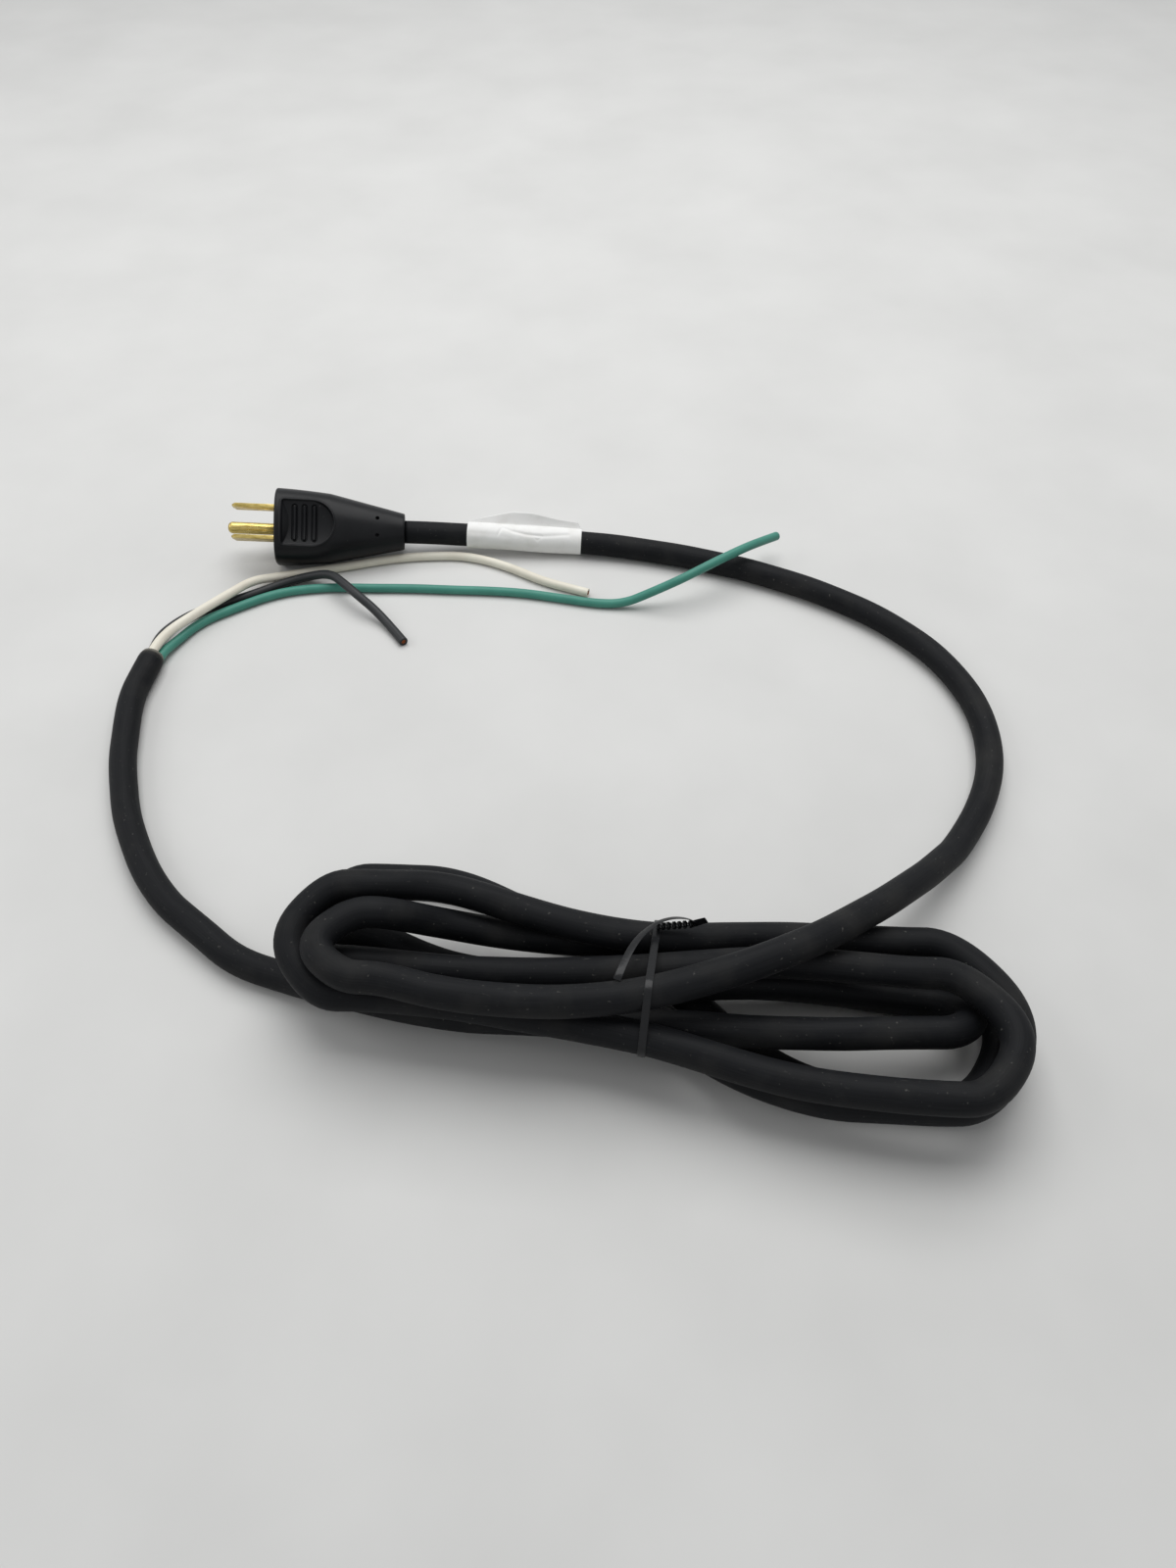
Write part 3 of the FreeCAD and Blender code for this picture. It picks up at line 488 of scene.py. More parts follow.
# %% Dressing helpers
def dress(piece, material):
    """Gives a made piece its finish and its place on the one body."""
    piece.data.materials.clear()
    piece.data.materials.append(material)
    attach(piece, "root")


def refinish(node_name, material):
    """Gives a CAD node that stays in the model a new finish."""
    nodes[node_name].data.materials.clear()
    nodes[node_name].data.materials.append(material)


print("inner nodes that stay:", [name for name in nodes if name.startswith(("core", "strands"))])

# %% [markdown]
# ## The jacket
# The jacket is thermoset rubber, extruded over three twisted cores and filler. The cores lie in
# a slow helix, and the rubber shrinks on them a little, so three faint ridges turn round the
# cord: r = R + h cos(3 (a - 2 pi s / lay)). Where a strand of the hank bears on the floor it is
# pressed flat. At the far end a knife has gone round the jacket, and the wall draws in there.

# %% Jacket sizes, in millimetres
SIDES = 40
RING_STEP = 1.7
LAY_LENGTH = 82.0
RIDGE = 0.045
DRAW_IN, DRAW_LENGTH = 0.5, 3.2
# (step past the cut, radius) over the wall's edge and down inside it
LIP = ((0.10, 4.05), (0.12, 3.98), (-0.1, 3.93), (-1.5, 3.95), (-7.0, 3.95))
# how pale each ring is, from three before the cut to the second one of the lip
CUT_PALE = (0.0, 0.05, 0.5, 1.0, 0.7)
jacket_line = spline_line("jacket", jacket_route, RING_STEP * MM)
jacket_frames = travelling_frames(jacket_line)
steps = np.linalg.norm(np.diff(jacket_line, axis=0), axis=1)
jacket_s = np.concatenate([[0], np.cumsum(steps)])
print("jacket line: %d points, %.3f m" % (len(jacket_line), jacket_s[-1]))

# %% [markdown]
# ### Ridges, flats and the cut
# The radius of every point is worked out at once, from its distance along the cord and its angle.
# Points that would lie under the floor are lifted to it, and that makes the flats. The rings near
# the cut carry a share that the finish reads, to make the rim pale.

# %% Jacket surface
turn = np.linspace(0, 2 * math.pi, SIDES, endpoint=False)
ridge = RIDGE * np.cos(3 * (turn[None] - 2 * math.pi * jacket_s[:, None] / (LAY_LENGTH * MM)))
to_end = (jacket_s[-1] - jacket_s) / MM
drawn_in = DRAW_IN * np.clip(1 - to_end / DRAW_LENGTH, 0, 1) ** 2
jacket_radius = (CORD_D / 2 + ridge - drawn_in[:, None]) * MM
body_rows = rings(jacket_line, jacket_radius, SIDES, jacket_frames)
lip_rows = end_rings(jacket_line, jacket_frames, SIDES, np.array(LIP) * MM)
jacket_grid = capped(np.concatenate([body_rows, lip_rows]))
jacket_grid[..., 2] = np.maximum(jacket_grid[..., 2], 0.0)
cut_share = np.zeros(jacket_grid.shape[:2])
first_pale = len(body_rows) - 2
cut_share[first_pale:first_pale + len(CUT_PALE)] = np.array(CUT_PALE)[:, None]
jacket = grid_piece("jacket", jacket_grid, marks=("cut_rim", cut_share))
print("jacket: %d faces" % len(jacket.data.polygons))

# %% [markdown]
# ### Rubber
# Cured rubber with carbon black is nearly matt: a broad, weak sheen and no clear reflections, so
# its specular level is low and its roughness high. Talc from the coil's box and rubbing on other
# strands leave pale clouds and short scuffs along it. Fine drag lines from the extruder's die run
# along the cord, so that pattern is stretched along u. The cut rim is paler, because a knife
# breaks the rubber open there. Real die lines, talc grit and rubber grain are a tenth of a
# millimetre or less. They are drawn about four to ten times as coarse here, so that they show.

# %% Rubber finish
rubber, tree, shader = finish("cured_rubber_jacket", Roughness=0.6, Specular_IOR_Level=0.1)
uv = node(tree, "TexCoord", {}).outputs["UV"]
where = node(tree, "TexCoord", {}).outputs["Object"]
drag_map = node(tree, "Mapping", {"Vector": uv, "Scale": (60.0, 2600.0, 1.0)}).outputs[0]
drag = clouds(tree, drag_map, 1.0, 0.3, 0.7)                # 17 mm long, 0.4 mm wide
scuff_map = node(tree, "Mapping", {"Vector": uv, "Scale": (260.0, 700.0, 1.0)}).outputs[0]
scuff = clouds(tree, scuff_map, 1.0, 0.66, 0.80, 6.0)       # 4 mm long, 1.4 mm wide
dust = clouds(tree, where, 55.0, 0.50, 0.78, 6.0)           # 18 mm clouds
grit = clouds(tree, where, 800.0, 0.70, 0.77, 2.0)          # specks 1.2 mm apart
ragged = clouds(tree, where, 1500.0, 0.2, 0.55)             # 0.7 mm tears in the cut
grain = clouds(tree, where, 2200.0, 0.2, 0.8, 3.0)          # 0.45 mm
cut_rim = node(tree, "Attribute", {}, attribute_name="cut_rim").outputs["Fac"]
tone = layer(tree, colour("#111214"), drag, 1.0, "#191a1c")
tone = layer(tree, tone, dust, 0.25, "#4a4946")
tone = layer(tree, tone, scuff, 0.30, "#5d5c58")
tone = layer(tree, tone, grit, 0.28, "#7d7c76")
tone = layer(tree, tone, cut_rim, ragged, "#b9b5a8")
relief = node(tree, "Math", {0: drag, 1: grain}).outputs[0]
feed(tree, shader, {
    "Base Color": tone,
    "Roughness": node(tree, "MapRange", {0: dust, 3: 0.56, 4: 0.72}).outputs[0],
    "Normal": node(tree, "Bump", {"Height": relief, "Distance": 0.018 * MM}).outputs["Normal"]})
print("rubber:", len(tree.nodes), "nodes")

# %% [markdown]
# ### The jacket in place
# The jacket stands for four CAD nodes, which are hidden, and it rides on the one body. The short
# piece of jacket inside the plug gets the same rubber.

# %% Jacket in place
dress(jacket, rubber)
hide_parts("cord_lead", "cord_hank", "cord_tail", "jacket_end")
refinish("jacket_in_plug", rubber)
print("jacket declared, leaves the plug at", place(cord_exit).round(4))

# %% [markdown]
# ## Leads
# The three cores come out of the cut jacket side by side and go their own ways. Each one is PVC
# over a bundle of fine copper strands, cut through square, so the end shows a ring of PVC and
# the strands inside it. The skin is one grid: it runs along the core, over a nicked edge, across
# the cut and a little way down the bore.

# %% Lead skin
LEAD_SIDES = 24
LEAD_STEP = 1.0
NICK = 0.1
BORE_DEPTH = 1.5


def lead_piece(name, route):
    """A core's skin along its route, square cut, with a bore that the strands sit in."""
    line = spline_line(name, route, LEAD_STEP * MM)
    frames = travelling_frames(line)
    core_r, bore_r, nick = CORE_D / 2 * MM, CONDUCTOR_D / 2 * MM, NICK * MM
    skin = rings(line, np.full(len(line), core_r), LEAD_SIDES, frames)
    cut = [(0, core_r), (nick * 0.7, core_r - nick * 0.3), (nick, core_r - nick),
           (nick, bore_r + nick), (nick * 0.6, bore_r), (-BORE_DEPTH * MM, bore_r)]
    grid = np.concatenate([skin, end_rings(line, frames, LEAD_SIDES, cut)])
    return grid_piece(name, capped(grid)), line, frames


print("PVC wall: %.2f mm" % ((CORE_D - CONDUCTOR_D) / 2))

# %% [markdown]
# ### Cut strands
# The strands are separate small rods, because a bundle is what makes the cut copper look brown
# and broken instead of like one bright disc. They are packed as hexagons are, and the cutter left
# each of them a little proud or short.

# %% Strand bundle
STRAND_R, STRAND_SIDES = 0.128, 8
STRAND_SLACK = 0.27
# (step along the rod, share of its radius) from its hidden end to its slightly domed cut
STRAND_LEVELS = ((-6.0, 0.0), (-6.0, 1.0), (0.0, 1.0), (0.02, 0.8), (0.025, 0.0))


def strand_bundle(name, line, frames, seed):
    """Thirty-seven thin rods in a hexagonal pack, each cut a little proud or short.

    Rod k is at p = a (i + j / 2) * across + a j sqrt(3) / 2 * up, for the 37 whole pairs (i, j)
    that lie within three steps of the middle, where a is the spacing of the rods.
    """
    along, across, up = (f[-1] for f in frames)
    i, j = (a.ravel() for a in np.meshgrid(np.arange(-3, 4), np.arange(-3, 4), indexing="ij"))
    kept = np.abs(i + j) <= 3
    i, j = i[kept], j[kept]
    spacing = (CONDUCTOR_D - STRAND_SLACK) / 6 * MM
    random = np.random.default_rng(seed)
    x = spacing * (i + j / 2) + random.normal(0, 0.008 * MM, len(i))
    y = spacing * j * math.sqrt(3) / 2 + random.normal(0, 0.008 * MM, len(i))
    proud = random.uniform(-0.10, 0.16, len(i)) * MM
    a = np.linspace(0, 2 * math.pi, STRAND_SIDES, endpoint=False)
    levels = np.array(STRAND_LEVELS) * [MM, 1.0]
    end = np.where(levels[None, :, 0] >= 0, proud[:, None], 0) + levels[None, :, 0]
    radius = STRAND_R * MM * levels[:, 1]
    points = (line[-1] + end[:, :, None, None] * along
              + (x[:, None, None] + radius[None, :, None] * np.cos(a))[..., None] * across
              + (y[:, None, None] + radius[None, :, None] * np.sin(a))[..., None] * up)
    one = grid_faces(len(levels), STRAND_SIDES)[:, ::-1]
    first_point = np.arange(len(i)) * len(levels) * STRAND_SIDES
    faces = (one[None] + first_point[:, None, None]).reshape(-1, 4)
    return new_piece(name, points.reshape(-1, 3), faces)


print("strand: %.3f mm thick" % (2 * STRAND_R))

# %% [markdown]
# ### Copper
# Bare copper strand, drawn and then sheared. Air has dulled it, so it looks brown with a few
# bright rods, not like new wire. The patches are 0.4 mm across, about three strands.

# %% Copper finish
copper_look, tree, shader = finish("cut_copper_strands", Metallic=1.0, Roughness=0.42)
where = node(tree, "TexCoord", {}).outputs["Object"]
dull = clouds(tree, where, 2500.0, 0.35, 0.65)
feed(tree, shader, {"Base Color": layer(tree, colour("#a8623c"), dull, 1.0, "#6b4430")})
for strands in ("strands_line", "strands_neutral", "strands_ground"):
    refinish(strands, copper_look)
print("copper:", len(tree.nodes), "nodes")

# %% [markdown]
# ### PVC insulation
# Extruded PVC is smoother than rubber and has a soft shine. Hands leave it darker in patches
# 11 mm across. Its skin has a fine unevenness from the extruder, drawn here at 1.1 mm, which is
# coarser than the real one, so that it shows.

# %% Insulation finish
def insulation(name, base, shade, gloss):
    """Extruded PVC in one colour, with handled patches of a darker shade."""
    pvc, tree, shader = finish("pvc_insulation_" + name, Roughness=gloss, Specular_IOR_Level=0.35)
    where = node(tree, "TexCoord", {}).outputs["Object"]
    handled = clouds(tree, where, 90.0, 0.35, 0.75)
    uneven = clouds(tree, where, 900.0, 0.2, 0.8)
    raised = node(tree, "Bump", {"Height": uneven, "Distance": 0.012 * MM})
    feed(tree, shader, {"Base Color": layer(tree, colour(base), handled, 1.0, shade),
                        "Normal": raised.outputs["Normal"]})
    print(pvc.name, len(tree.nodes), "nodes")
    return pvc


# %% [markdown]
# ### The three leads
# The leads start inside the jacket, a third of a turn apart, and run straight for a little way
# before each takes its own route. Each lead has its own PVC, and its strands go with it.

# %% Leads and their strands
LEADS = (
    ("white", WHITE, 0, "#e2ded0", "#d6d0c0", 0.42, "core_neutral"),
    ("green", GREEN, 120, "#438878", "#387a6c", 0.45, "core_ground"),
    ("black", BLACK, 240, "#232527", "#1a1c1e", 0.48, "core_line"))
for index, (name, points, degrees, base, shade, gloss, inner) in enumerate(LEADS):
    angle = math.radians(degrees)
    start = cut_start + CORE_PITCH_R * (
        np.array([0, 0, math.cos(angle)]) + cut_side * math.sin(angle))
    out = start + cut_along * (JACKET_END_LENGTH + STRAIGHT_OUT)
    lead, line, frames = lead_piece("lead_%s_skin" % name, [start.tolist(), out.tolist()] + points)
    pvc = insulation(name, base, shade, gloss)
    dress(lead, pvc)
    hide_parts("lead_" + name)
    strands = strand_bundle("strands_%s_cut" % name, line, frames, index)
    dress(strands, copper_look)
    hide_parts("copper_" + name)
    refinish(inner, pvc)

# %% [markdown]
# ## The moulded plug
# The plug is PVC, injected round the contacts in a steel mould. Its section is a superellipse:
# |y / half| ** p + |z / height| ** p = 1. That is boxy at the face and round at the cord, and
# deeper on the side of the ground pin. The grip panel, its ribs and the two mould marks are
# shallow, so they are a height taken off the top of that section. Each of their outlines is a
# distance field: how far a point is outside a D or a pill. A distance makes edges soft easily.

# %% Plug sizes, in millimetres
# the section at the face, how far it is drawn in where the taper starts, and the end's radius
FACE_HALF, FACE_TOP, FACE_BOTTOM = 15.6, 12.0, 13.6
SHOULDER_X, SHOULDER_IN, TOP_FALL, BOTTOM_FALL = 22.0, 1.4, 0.3, 3.4
RING_R, FACE_ROUND, RING_ROUND = 7.4, 0.9, 0.5
# how boxy the section is: 2 would be an ellipse
FACE_POWER, SHOULDER_POWER, RING_POWER = 2.5, 2.3, 2.0


def plug_size(x):
    """Half width, height above, height below and power of the plug's section at each x."""
    near = np.clip(x / SHOULDER_X, 0, 1)
    far = np.clip((x - SHOULDER_X) / (PLUG_LENGTH - SHOULDER_X), 0, 1)
    half = FACE_HALF - SHOULDER_IN * near ** 1.6 + (RING_R - FACE_HALF + SHOULDER_IN) * far
    top = FACE_TOP - TOP_FALL * near + (RING_R - FACE_TOP + TOP_FALL) * far ** 1.15
    bottom = (FACE_BOTTOM - BOTTOM_FALL * near
              + (RING_R - FACE_BOTTOM + BOTTOM_FALL) * far ** 0.9)
    power = (FACE_POWER + (SHOULDER_POWER - FACE_POWER) * near
             + (RING_POWER - SHOULDER_POWER) * far)
    return half, top, bottom, power


print("plug at its shoulder:", [round(float(size), 2) for size in plug_size(SHOULDER_X)])


# %% [markdown]
# ### Outlines as distances
# Three small functions are enough for all the relief. Two give how far a point lies outside an
# outline, below zero inside it. The third turns such a distance to a soft step.

# %% Distances and steps
PANEL_X, PANEL_LENGTH, PANEL_HALF, PANEL_CORNER = 3.0, 21.0, 9.2, 1.2


def to_panel(x, y):
    """Distance outside the panel's D: a rectangle with small corners, half a disc at one end."""
    across = np.abs(y) - (PANEL_HALF - PANEL_CORNER)
    back = PANEL_X + PANEL_CORNER - x
    corner = np.hypot(np.maximum(across, 0), np.maximum(back, 0))
    square = corner + np.minimum(np.maximum(across, back), 0) - PANEL_CORNER
    centre = PANEL_X + PANEL_LENGTH - PANEL_HALF
    return np.where(x > centre, np.hypot(x - centre, y) - PANEL_HALF, square)


def to_pill(x, y, at_x, length, width):
    """Distance outside a pill that lies across the plug: to its middle line, less half a width."""
    return np.hypot(x - at_x, np.maximum(np.abs(y) - (length - width) / 2, 0)) - width / 2


def ease(value, low, high):
    """0 below low, 1 above high, and 3 t^2 - 2 t^3 between them."""
    t = np.clip((value - low) / (high - low), 0, 1)
    return t * t * (3 - 2 * t)


def rounding(depth, radius):
    """How far in a quarter round is, at a depth from the end: r - sqrt(r^2 - (r - depth)^2)."""
    return radius - np.sqrt(np.maximum(radius ** 2 - np.maximum(radius - depth, 0) ** 2, 0))


print("the panel's middle lies %.1f mm inside its edge" % -to_panel(
    PANEL_X + PANEL_LENGTH / 2, 0.0))

# %% [markdown]
# ### The plain moulding
# Rows of the grid are 0.14 mm apart where the relief is, and wider apart elsewhere. Points are
# shared out round the section so that the top, which carries the relief, has more than half.

# %% Plug without its relief
TOP_POINTS, LOW_POINTS = 121, 80
rows_x = np.unique(np.concatenate([
    FACE_ROUND * (1 - np.cos(np.linspace(0, math.pi / 2, 8))), np.arange(1.2, 25.2, 0.14),
    np.arange(25.6, 39.9, 0.6), np.arange(40.1, 42.8, 0.14), np.arange(43.4, 51.8, 0.7),
    PLUG_LENGTH - RING_ROUND * (1 - np.cos(np.linspace(0, math.pi / 2, 6)))]))
top_share = np.linspace(-0.78, 0.78, TOP_POINTS)[::-1]
top_angles = np.arccos(np.sign(top_share) * np.abs(top_share) ** 1.2)
low_angles = np.linspace(top_angles[-1], top_angles[0] + 2 * math.pi, LOW_POINTS + 2)[1:-1]
plug_angles = np.concatenate([top_angles, low_angles])[None, :]
half, top, bottom, power = (part[:, None] for part in plug_size(rows_x))
inset = (rounding(rows_x, FACE_ROUND) + rounding(PLUG_LENGTH - rows_x, RING_ROUND))[:, None]
c, s = np.cos(plug_angles), np.sin(plug_angles)
y = (half - inset) * np.sign(c) * np.abs(c) ** (2 / power)
z = (np.where(s > 0, top, bottom) - inset) * np.sign(s) * np.abs(s) ** (2 / power)
x = np.repeat(rows_x[:, None], y.shape[1], axis=1)
print("plug grid:", x.shape)

# %% [markdown]
# ### The grip panel and the marks
# The panel's floor is part of a large cylinder that leans a little, the scoop for a thumb. It
# has a raised lip round it, and at its straight end it rises to the face in a shallow crescent.
# Each rib stands up from the scoop between two grooves.

# %% Plug relief
PANEL_DEPTH, LIP_HEIGHT = 3.0, 0.38
# the scoop's radius, and the line along its bottom: a height, a slope and where that starts
SCOOP_R, SCOOP_LIFT, SCOOP_SLOPE, SCOOP_X = 40.0, 0.5, 0.03, -17
RIB_X, RIB_LENGTH, RIB_WIDTH = (8.1, 12.05, 16.0), 14.3, 1.3
RIB_HEIGHT, GROOVE_DEPTH = 0.55, 0.50
MARK_FROM_END, MARK_SIDE, MARK_R, MARK_DEPTH = 11.0, 3.5, 0.65, 1.6
# the crescent at the panel's straight end: its length at the sides and in the middle, its half
# width, and the share of the depth that it starts with
RAMP_SIDE, RAMP_MIDDLE, RAMP_HALF, RAMP_START = 0.4, 2.5, 8.6, 0.12
outside = to_panel(x, y)
lip = LIP_HEIGHT * ease(outside, -0.1, 0.25) * (1 - ease(outside, 0.55, 1.0))
scooped = (FACE_TOP - PANEL_DEPTH + SCOOP_LIFT - SCOOP_SLOPE * (x - SCOOP_X)
           + SCOOP_R - np.sqrt(SCOOP_R ** 2 - y ** 2))
for at_x in RIB_X:
    from_rib = to_pill(x, y, at_x, RIB_LENGTH, RIB_WIDTH)
    scooped += RIB_HEIGHT * (1 - ease(from_rib, -0.32, 0.05))
    scooped -= GROOVE_DEPTH * ease(from_rib, -0.12, 0.1) * (1 - ease(from_rib, 0.38, 0.62))
upper = s > 0.2
for side in (-1, 1):
    from_mark = np.hypot(x - PLUG_LENGTH + MARK_FROM_END, y - side * MARK_SIDE) - MARK_R
    z -= np.where(upper, MARK_DEPTH * (1 - ease(from_mark, -0.16, 0.1)), 0)
ramp_length = RAMP_SIDE + RAMP_MIDDLE * (1 - np.clip(y / RAMP_HALF, -1, 1) ** 2)
ramp = np.clip((x - PANEL_X) / ramp_length, 0, 1)
sunk = (1 - ease(outside, -0.42, 0.02)) * (RAMP_START + (1 - RAMP_START) * ramp)
z = np.where(upper, (z + lip) + (scooped - z - lip) * sunk, z)
print("relief: the panel is %.2f mm deep along its middle" % float(
    (top - z)[(outside < 0) & upper & (np.abs(y) < 0.5)].max()))

# %% [markdown]
# ### Its two ends
# The face closes in a few rings round its middle. At the cord the end is a flat ring, and the
# moulding turns in there round the jacket.

# %% Plug piece
RING_BORE, RING_BORE_DEPTH = 0.66, 0.8
plug_grid = np.stack([x, y, z], axis=-1)
face = [plug_grid[0] * [1, share, share] for share in (0.0, 0.4, 0.8, 0.97)]
ring_end = [plug_grid[-1] * [1, share, share] for share in (0.97, 0.8, RING_BORE)]
for share in (RING_BORE, 0):
    ring_end.append(plug_grid[-1] * [1, share, share] - [RING_BORE_DEPTH, 0, 0])
plug_grid = np.concatenate([np.array(face), plug_grid, np.array(ring_end)])
plug_skin = grid_piece("plug_moulding", place(from_plug(plug_grid[:, ::-1])))
print("plug moulding: %d faces" % len(plug_skin.data.polygons))

# %% [markdown]
# ### Moulded PVC
# Flexible PVC comes out of a polished mould with a satin skin. It reflects a window as a broad
# soft patch, and has the faintest orange peel, whose real scale is under a millimetre: it is
# drawn at 1.4 mm, so that it shows. Handling has left dull rubs 17 mm across and a few specks of
# pale dust, which are drawn at 0.9 mm, far coarser than dust is.

# %% Plug finish
moulded_pvc, tree, shader = finish("moulded_pvc_satin", Roughness=0.38, Specular_IOR_Level=0.17)
where = node(tree, "TexCoord", {}).outputs["Object"]
rubbed = clouds(tree, where, 60.0, 0.45, 0.75, 5.0)
speck = clouds(tree, where, 1100.0, 0.70, 0.78, 2.0)
dusty_place = clouds(tree, where, 45.0, 0.5, 0.7)
speck = node(tree, "Math", {0: speck, 1: dusty_place}, operation="MULTIPLY").outputs[0]
peel = clouds(tree, where, 700.0, 0.2, 0.8, 2.0)
tone = layer(tree, colour("#0f1012"), rubbed, 1.0, "#151618")
feed(tree, shader, {
    "Base Color": layer(tree, tone, speck, 0.35, "#8d8c88"),
    "Roughness": node(tree, "MapRange", {0: rubbed, 3: 0.33, 4: 0.44}).outputs[0],
    "Normal": node(tree, "Bump", {"Height": peel, "Distance": 0.012 * MM}).outputs["Normal"]})
dress(plug_skin, moulded_pvc)
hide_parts("plug_body")
print("moulded PVC:", len(tree.nodes), "nodes")

# %% [markdown]
# ### The inner moulding
# A first shot of harder grey PVC holds the three contacts apart before the outer one is moulded
# over it. It is matt, with a grain of 0.6 mm.

# %% Inner moulding finish
inner_pvc, tree, shader = finish("inner_moulding_pvc", Roughness=0.6)
where = node(tree, "TexCoord", {}).outputs["Object"]
grain = clouds(tree, where, 1600.0, 0.2, 0.8)
feed(tree, shader, {"Base Color": layer(tree, colour("#54545a"), grain, 1.0, "#606066")})
refinish("plug_bridge", inner_pvc)
print("inner moulding:", len(tree.nodes), "nodes")

# %% [markdown]
# ## The contacts
# The blades are stamped from brass strip and the pin is rolled from it, with edges just broken so
# that they enter an outlet easily. The CAD solids have the right shape, so a copy of each mesh is
# cleaned: its loose triangles are merged, flat ones are joined, and its edges get a fine bevel.

# %% Contact meshes
BROKEN_EDGE = 0.12


def cleaned_copy(node_name, name):
    """A copy of a CAD node: doubles merged, flat triangles joined, sharp edges bevelled."""
    mesh = nodes[node_name].data.copy()
    mesh.name = name
    shape = bmesh.new()
    shape.from_mesh(mesh)
    bmesh.ops.remove_doubles(shape, verts=shape.verts, dist=0.002 * MM)
    bmesh.ops.dissolve_limit(shape, angle_limit=math.radians(1.0), verts=shape.verts,
                             edges=shape.edges)
    shape.to_mesh(mesh)
    shape.free()
    mesh.shade_smooth()
    piece = bpy.data.objects.new(name, mesh)
    bpy.context.scene.collection.objects.link(piece)
    edge = piece.modifiers.new("broken edges", "BEVEL")
    edge.width = BROKEN_EDGE * MM
    edge.segments = 2
    edge.limit_method = "ANGLE"
    edge.angle_limit = math.radians(35)
    edge.harden_normals = True
    print("contact:", name, len(mesh.polygons), "faces before the bevel")
    return piece


# %% [markdown]
# ### Brass
# Brass strip is bright yellow metal with fine lines along the way it was rolled. Fingers and air
# have tarnished it in patches 4 mm across. Real rolling lines are a few hundredths of a
# millimetre apart, and are drawn at 0.4 mm so that they show.

# %% Brass finish
brass, tree, shader = finish("stamped_brass", Metallic=1.0, Roughness=0.27)
where = node(tree, "TexCoord", {}).outputs["Object"]
patch = clouds(tree, where, 260.0, 0.35, 0.7, 5.0)
rolled_map = node(tree, "Mapping", {"Vector": where, "Scale": (300.0, 2600.0, 2600.0)})
streak = clouds(tree, rolled_map.outputs[0], 1.0, 0.35, 0.7)
tone = layer(tree, colour("#cfbb78"), streak, 1.0, "#b8a25a")
feed(tree, shader, {
    "Base Color": layer(tree, tone, patch, streak, "#8d7a3d"),
    "Roughness": node(tree, "MapRange", {0: patch, 3: 0.26, 4: 0.42}).outputs[0],
    "Normal": node(tree, "Bump", {"Height": streak, "Distance": 0.004 * MM}).outputs["Normal"]})
for contact in ("blade_line", "blade_neutral", "ground_pin"):
    made = cleaned_copy(contact, contact + "_brass")
    dress(made, brass)
    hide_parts(contact)
print("brass:", len(tree.nodes), "nodes")

# %% [markdown]
# ## The label
# A strip of paper goes round the cord, and its two ends are stuck together behind as a small
# flag. So the outline of each section leaves the sleeve's circle, runs up one side of the flag and
# comes down the other: p = r (sin a, cos a) round the sleeve, and out * (r + climb * height) up
# and down the flag. The flag's height changes along the label.

# %% Label sizes, in millimetres
LABEL_START, LABEL_LENGTH, LABEL_R, PAPER = 4.5, 48.0, 5.25, 0.25
FLAG_LEAN = math.radians(35)
# the flag's height at places along the label
FLAG_S = (0.0, 6.0, 18.5, 27.0, 37.0, 46.5, 47.4, 48.0)
FLAG_H = (0.2, 2.4, 5.6, 5.5, 3.6, 2.7, 0.4, 0.0)
LABEL_ROWS, SMOOTH_ROWS = 241, 7
label_s = np.linspace(0, LABEL_LENGTH, LABEL_ROWS)
height = np.interp(label_s, FLAG_S, FLAG_H)
height = np.convolve(np.pad(height, SMOOTH_ROWS // 2, mode="edge"),
                     np.full(SMOOTH_ROWS, 1 / SMOOTH_ROWS), mode="valid")
print("flag: %.1f mm at most" % height.max())

# %% [markdown]
# ### Round the sleeve and over the flag
# Columns of the grid go once round the sleeve, from one side of the flag to the other, and then
# up one side of the flag and down the other one. The flag bows a little, as thin paper does.

# %% Label outline
SLEEVE_POINTS, CLIMB_POINTS = 97, 9
FLAG_BOW, BOW_LENGTH = 0.35, 7.0
gape = math.asin(PAPER / LABEL_R)
around = np.linspace(FLAG_LEAN + gape, FLAG_LEAN + 2 * math.pi - gape, SLEEVE_POINTS)
sleeve = np.stack([np.sin(around), np.cos(around)], axis=-1)[None] * LABEL_R
sleeve = np.repeat(sleeve, len(label_s), axis=0)
climb = np.linspace(0, 1, CLIMB_POINTS)
climb = np.concatenate([climb, [1.0, 1.0], np.linspace(1, 0, CLIMB_POINTS)])[None, :, None]
sides = np.concatenate([
    np.full(CLIMB_POINTS, -1.0), [-0.5, 0.5], np.full(CLIMB_POINTS, 1.0)])[None, :, None]
out = np.array([math.sin(FLAG_LEAN), math.cos(FLAG_LEAN)])
beside = np.array([math.cos(FLAG_LEAN), -math.sin(FLAG_LEAN)])
bow = FLAG_BOW * np.sin(label_s / BOW_LENGTH)[:, None, None] * climb ** 2
flag = (out * (LABEL_R + climb * height[:, None, None])
        + beside * (sides * PAPER * 0.5 + bow * np.minimum(height, 3)[:, None, None] / 3))
outline = np.concatenate([sleeve, flag], axis=1)
run_start, run_end = np.array(LEAD[0]), np.array(LEAD[1])
run_along = unit(run_end - run_start)
run_side = unit(np.cross([0, 0, 1], run_along))
run_up = np.cross(run_along, run_side)
label_at = run_start + run_along * (LABEL_START + label_s)[:, None]
label_grid = (label_at[:, None, :] + outline[..., :1] * run_side + outline[..., 1:] * run_up)
print("label grid:", label_grid.shape[:2])

# %% [markdown]
# ### Creases
# Handling has creased the label. Each crease is a shallow groove along a line on the paper, with
# its depth falling off as exp(-(distance / width) ** 2). Between the creases the paper stands off
# the cord in a slow wave.

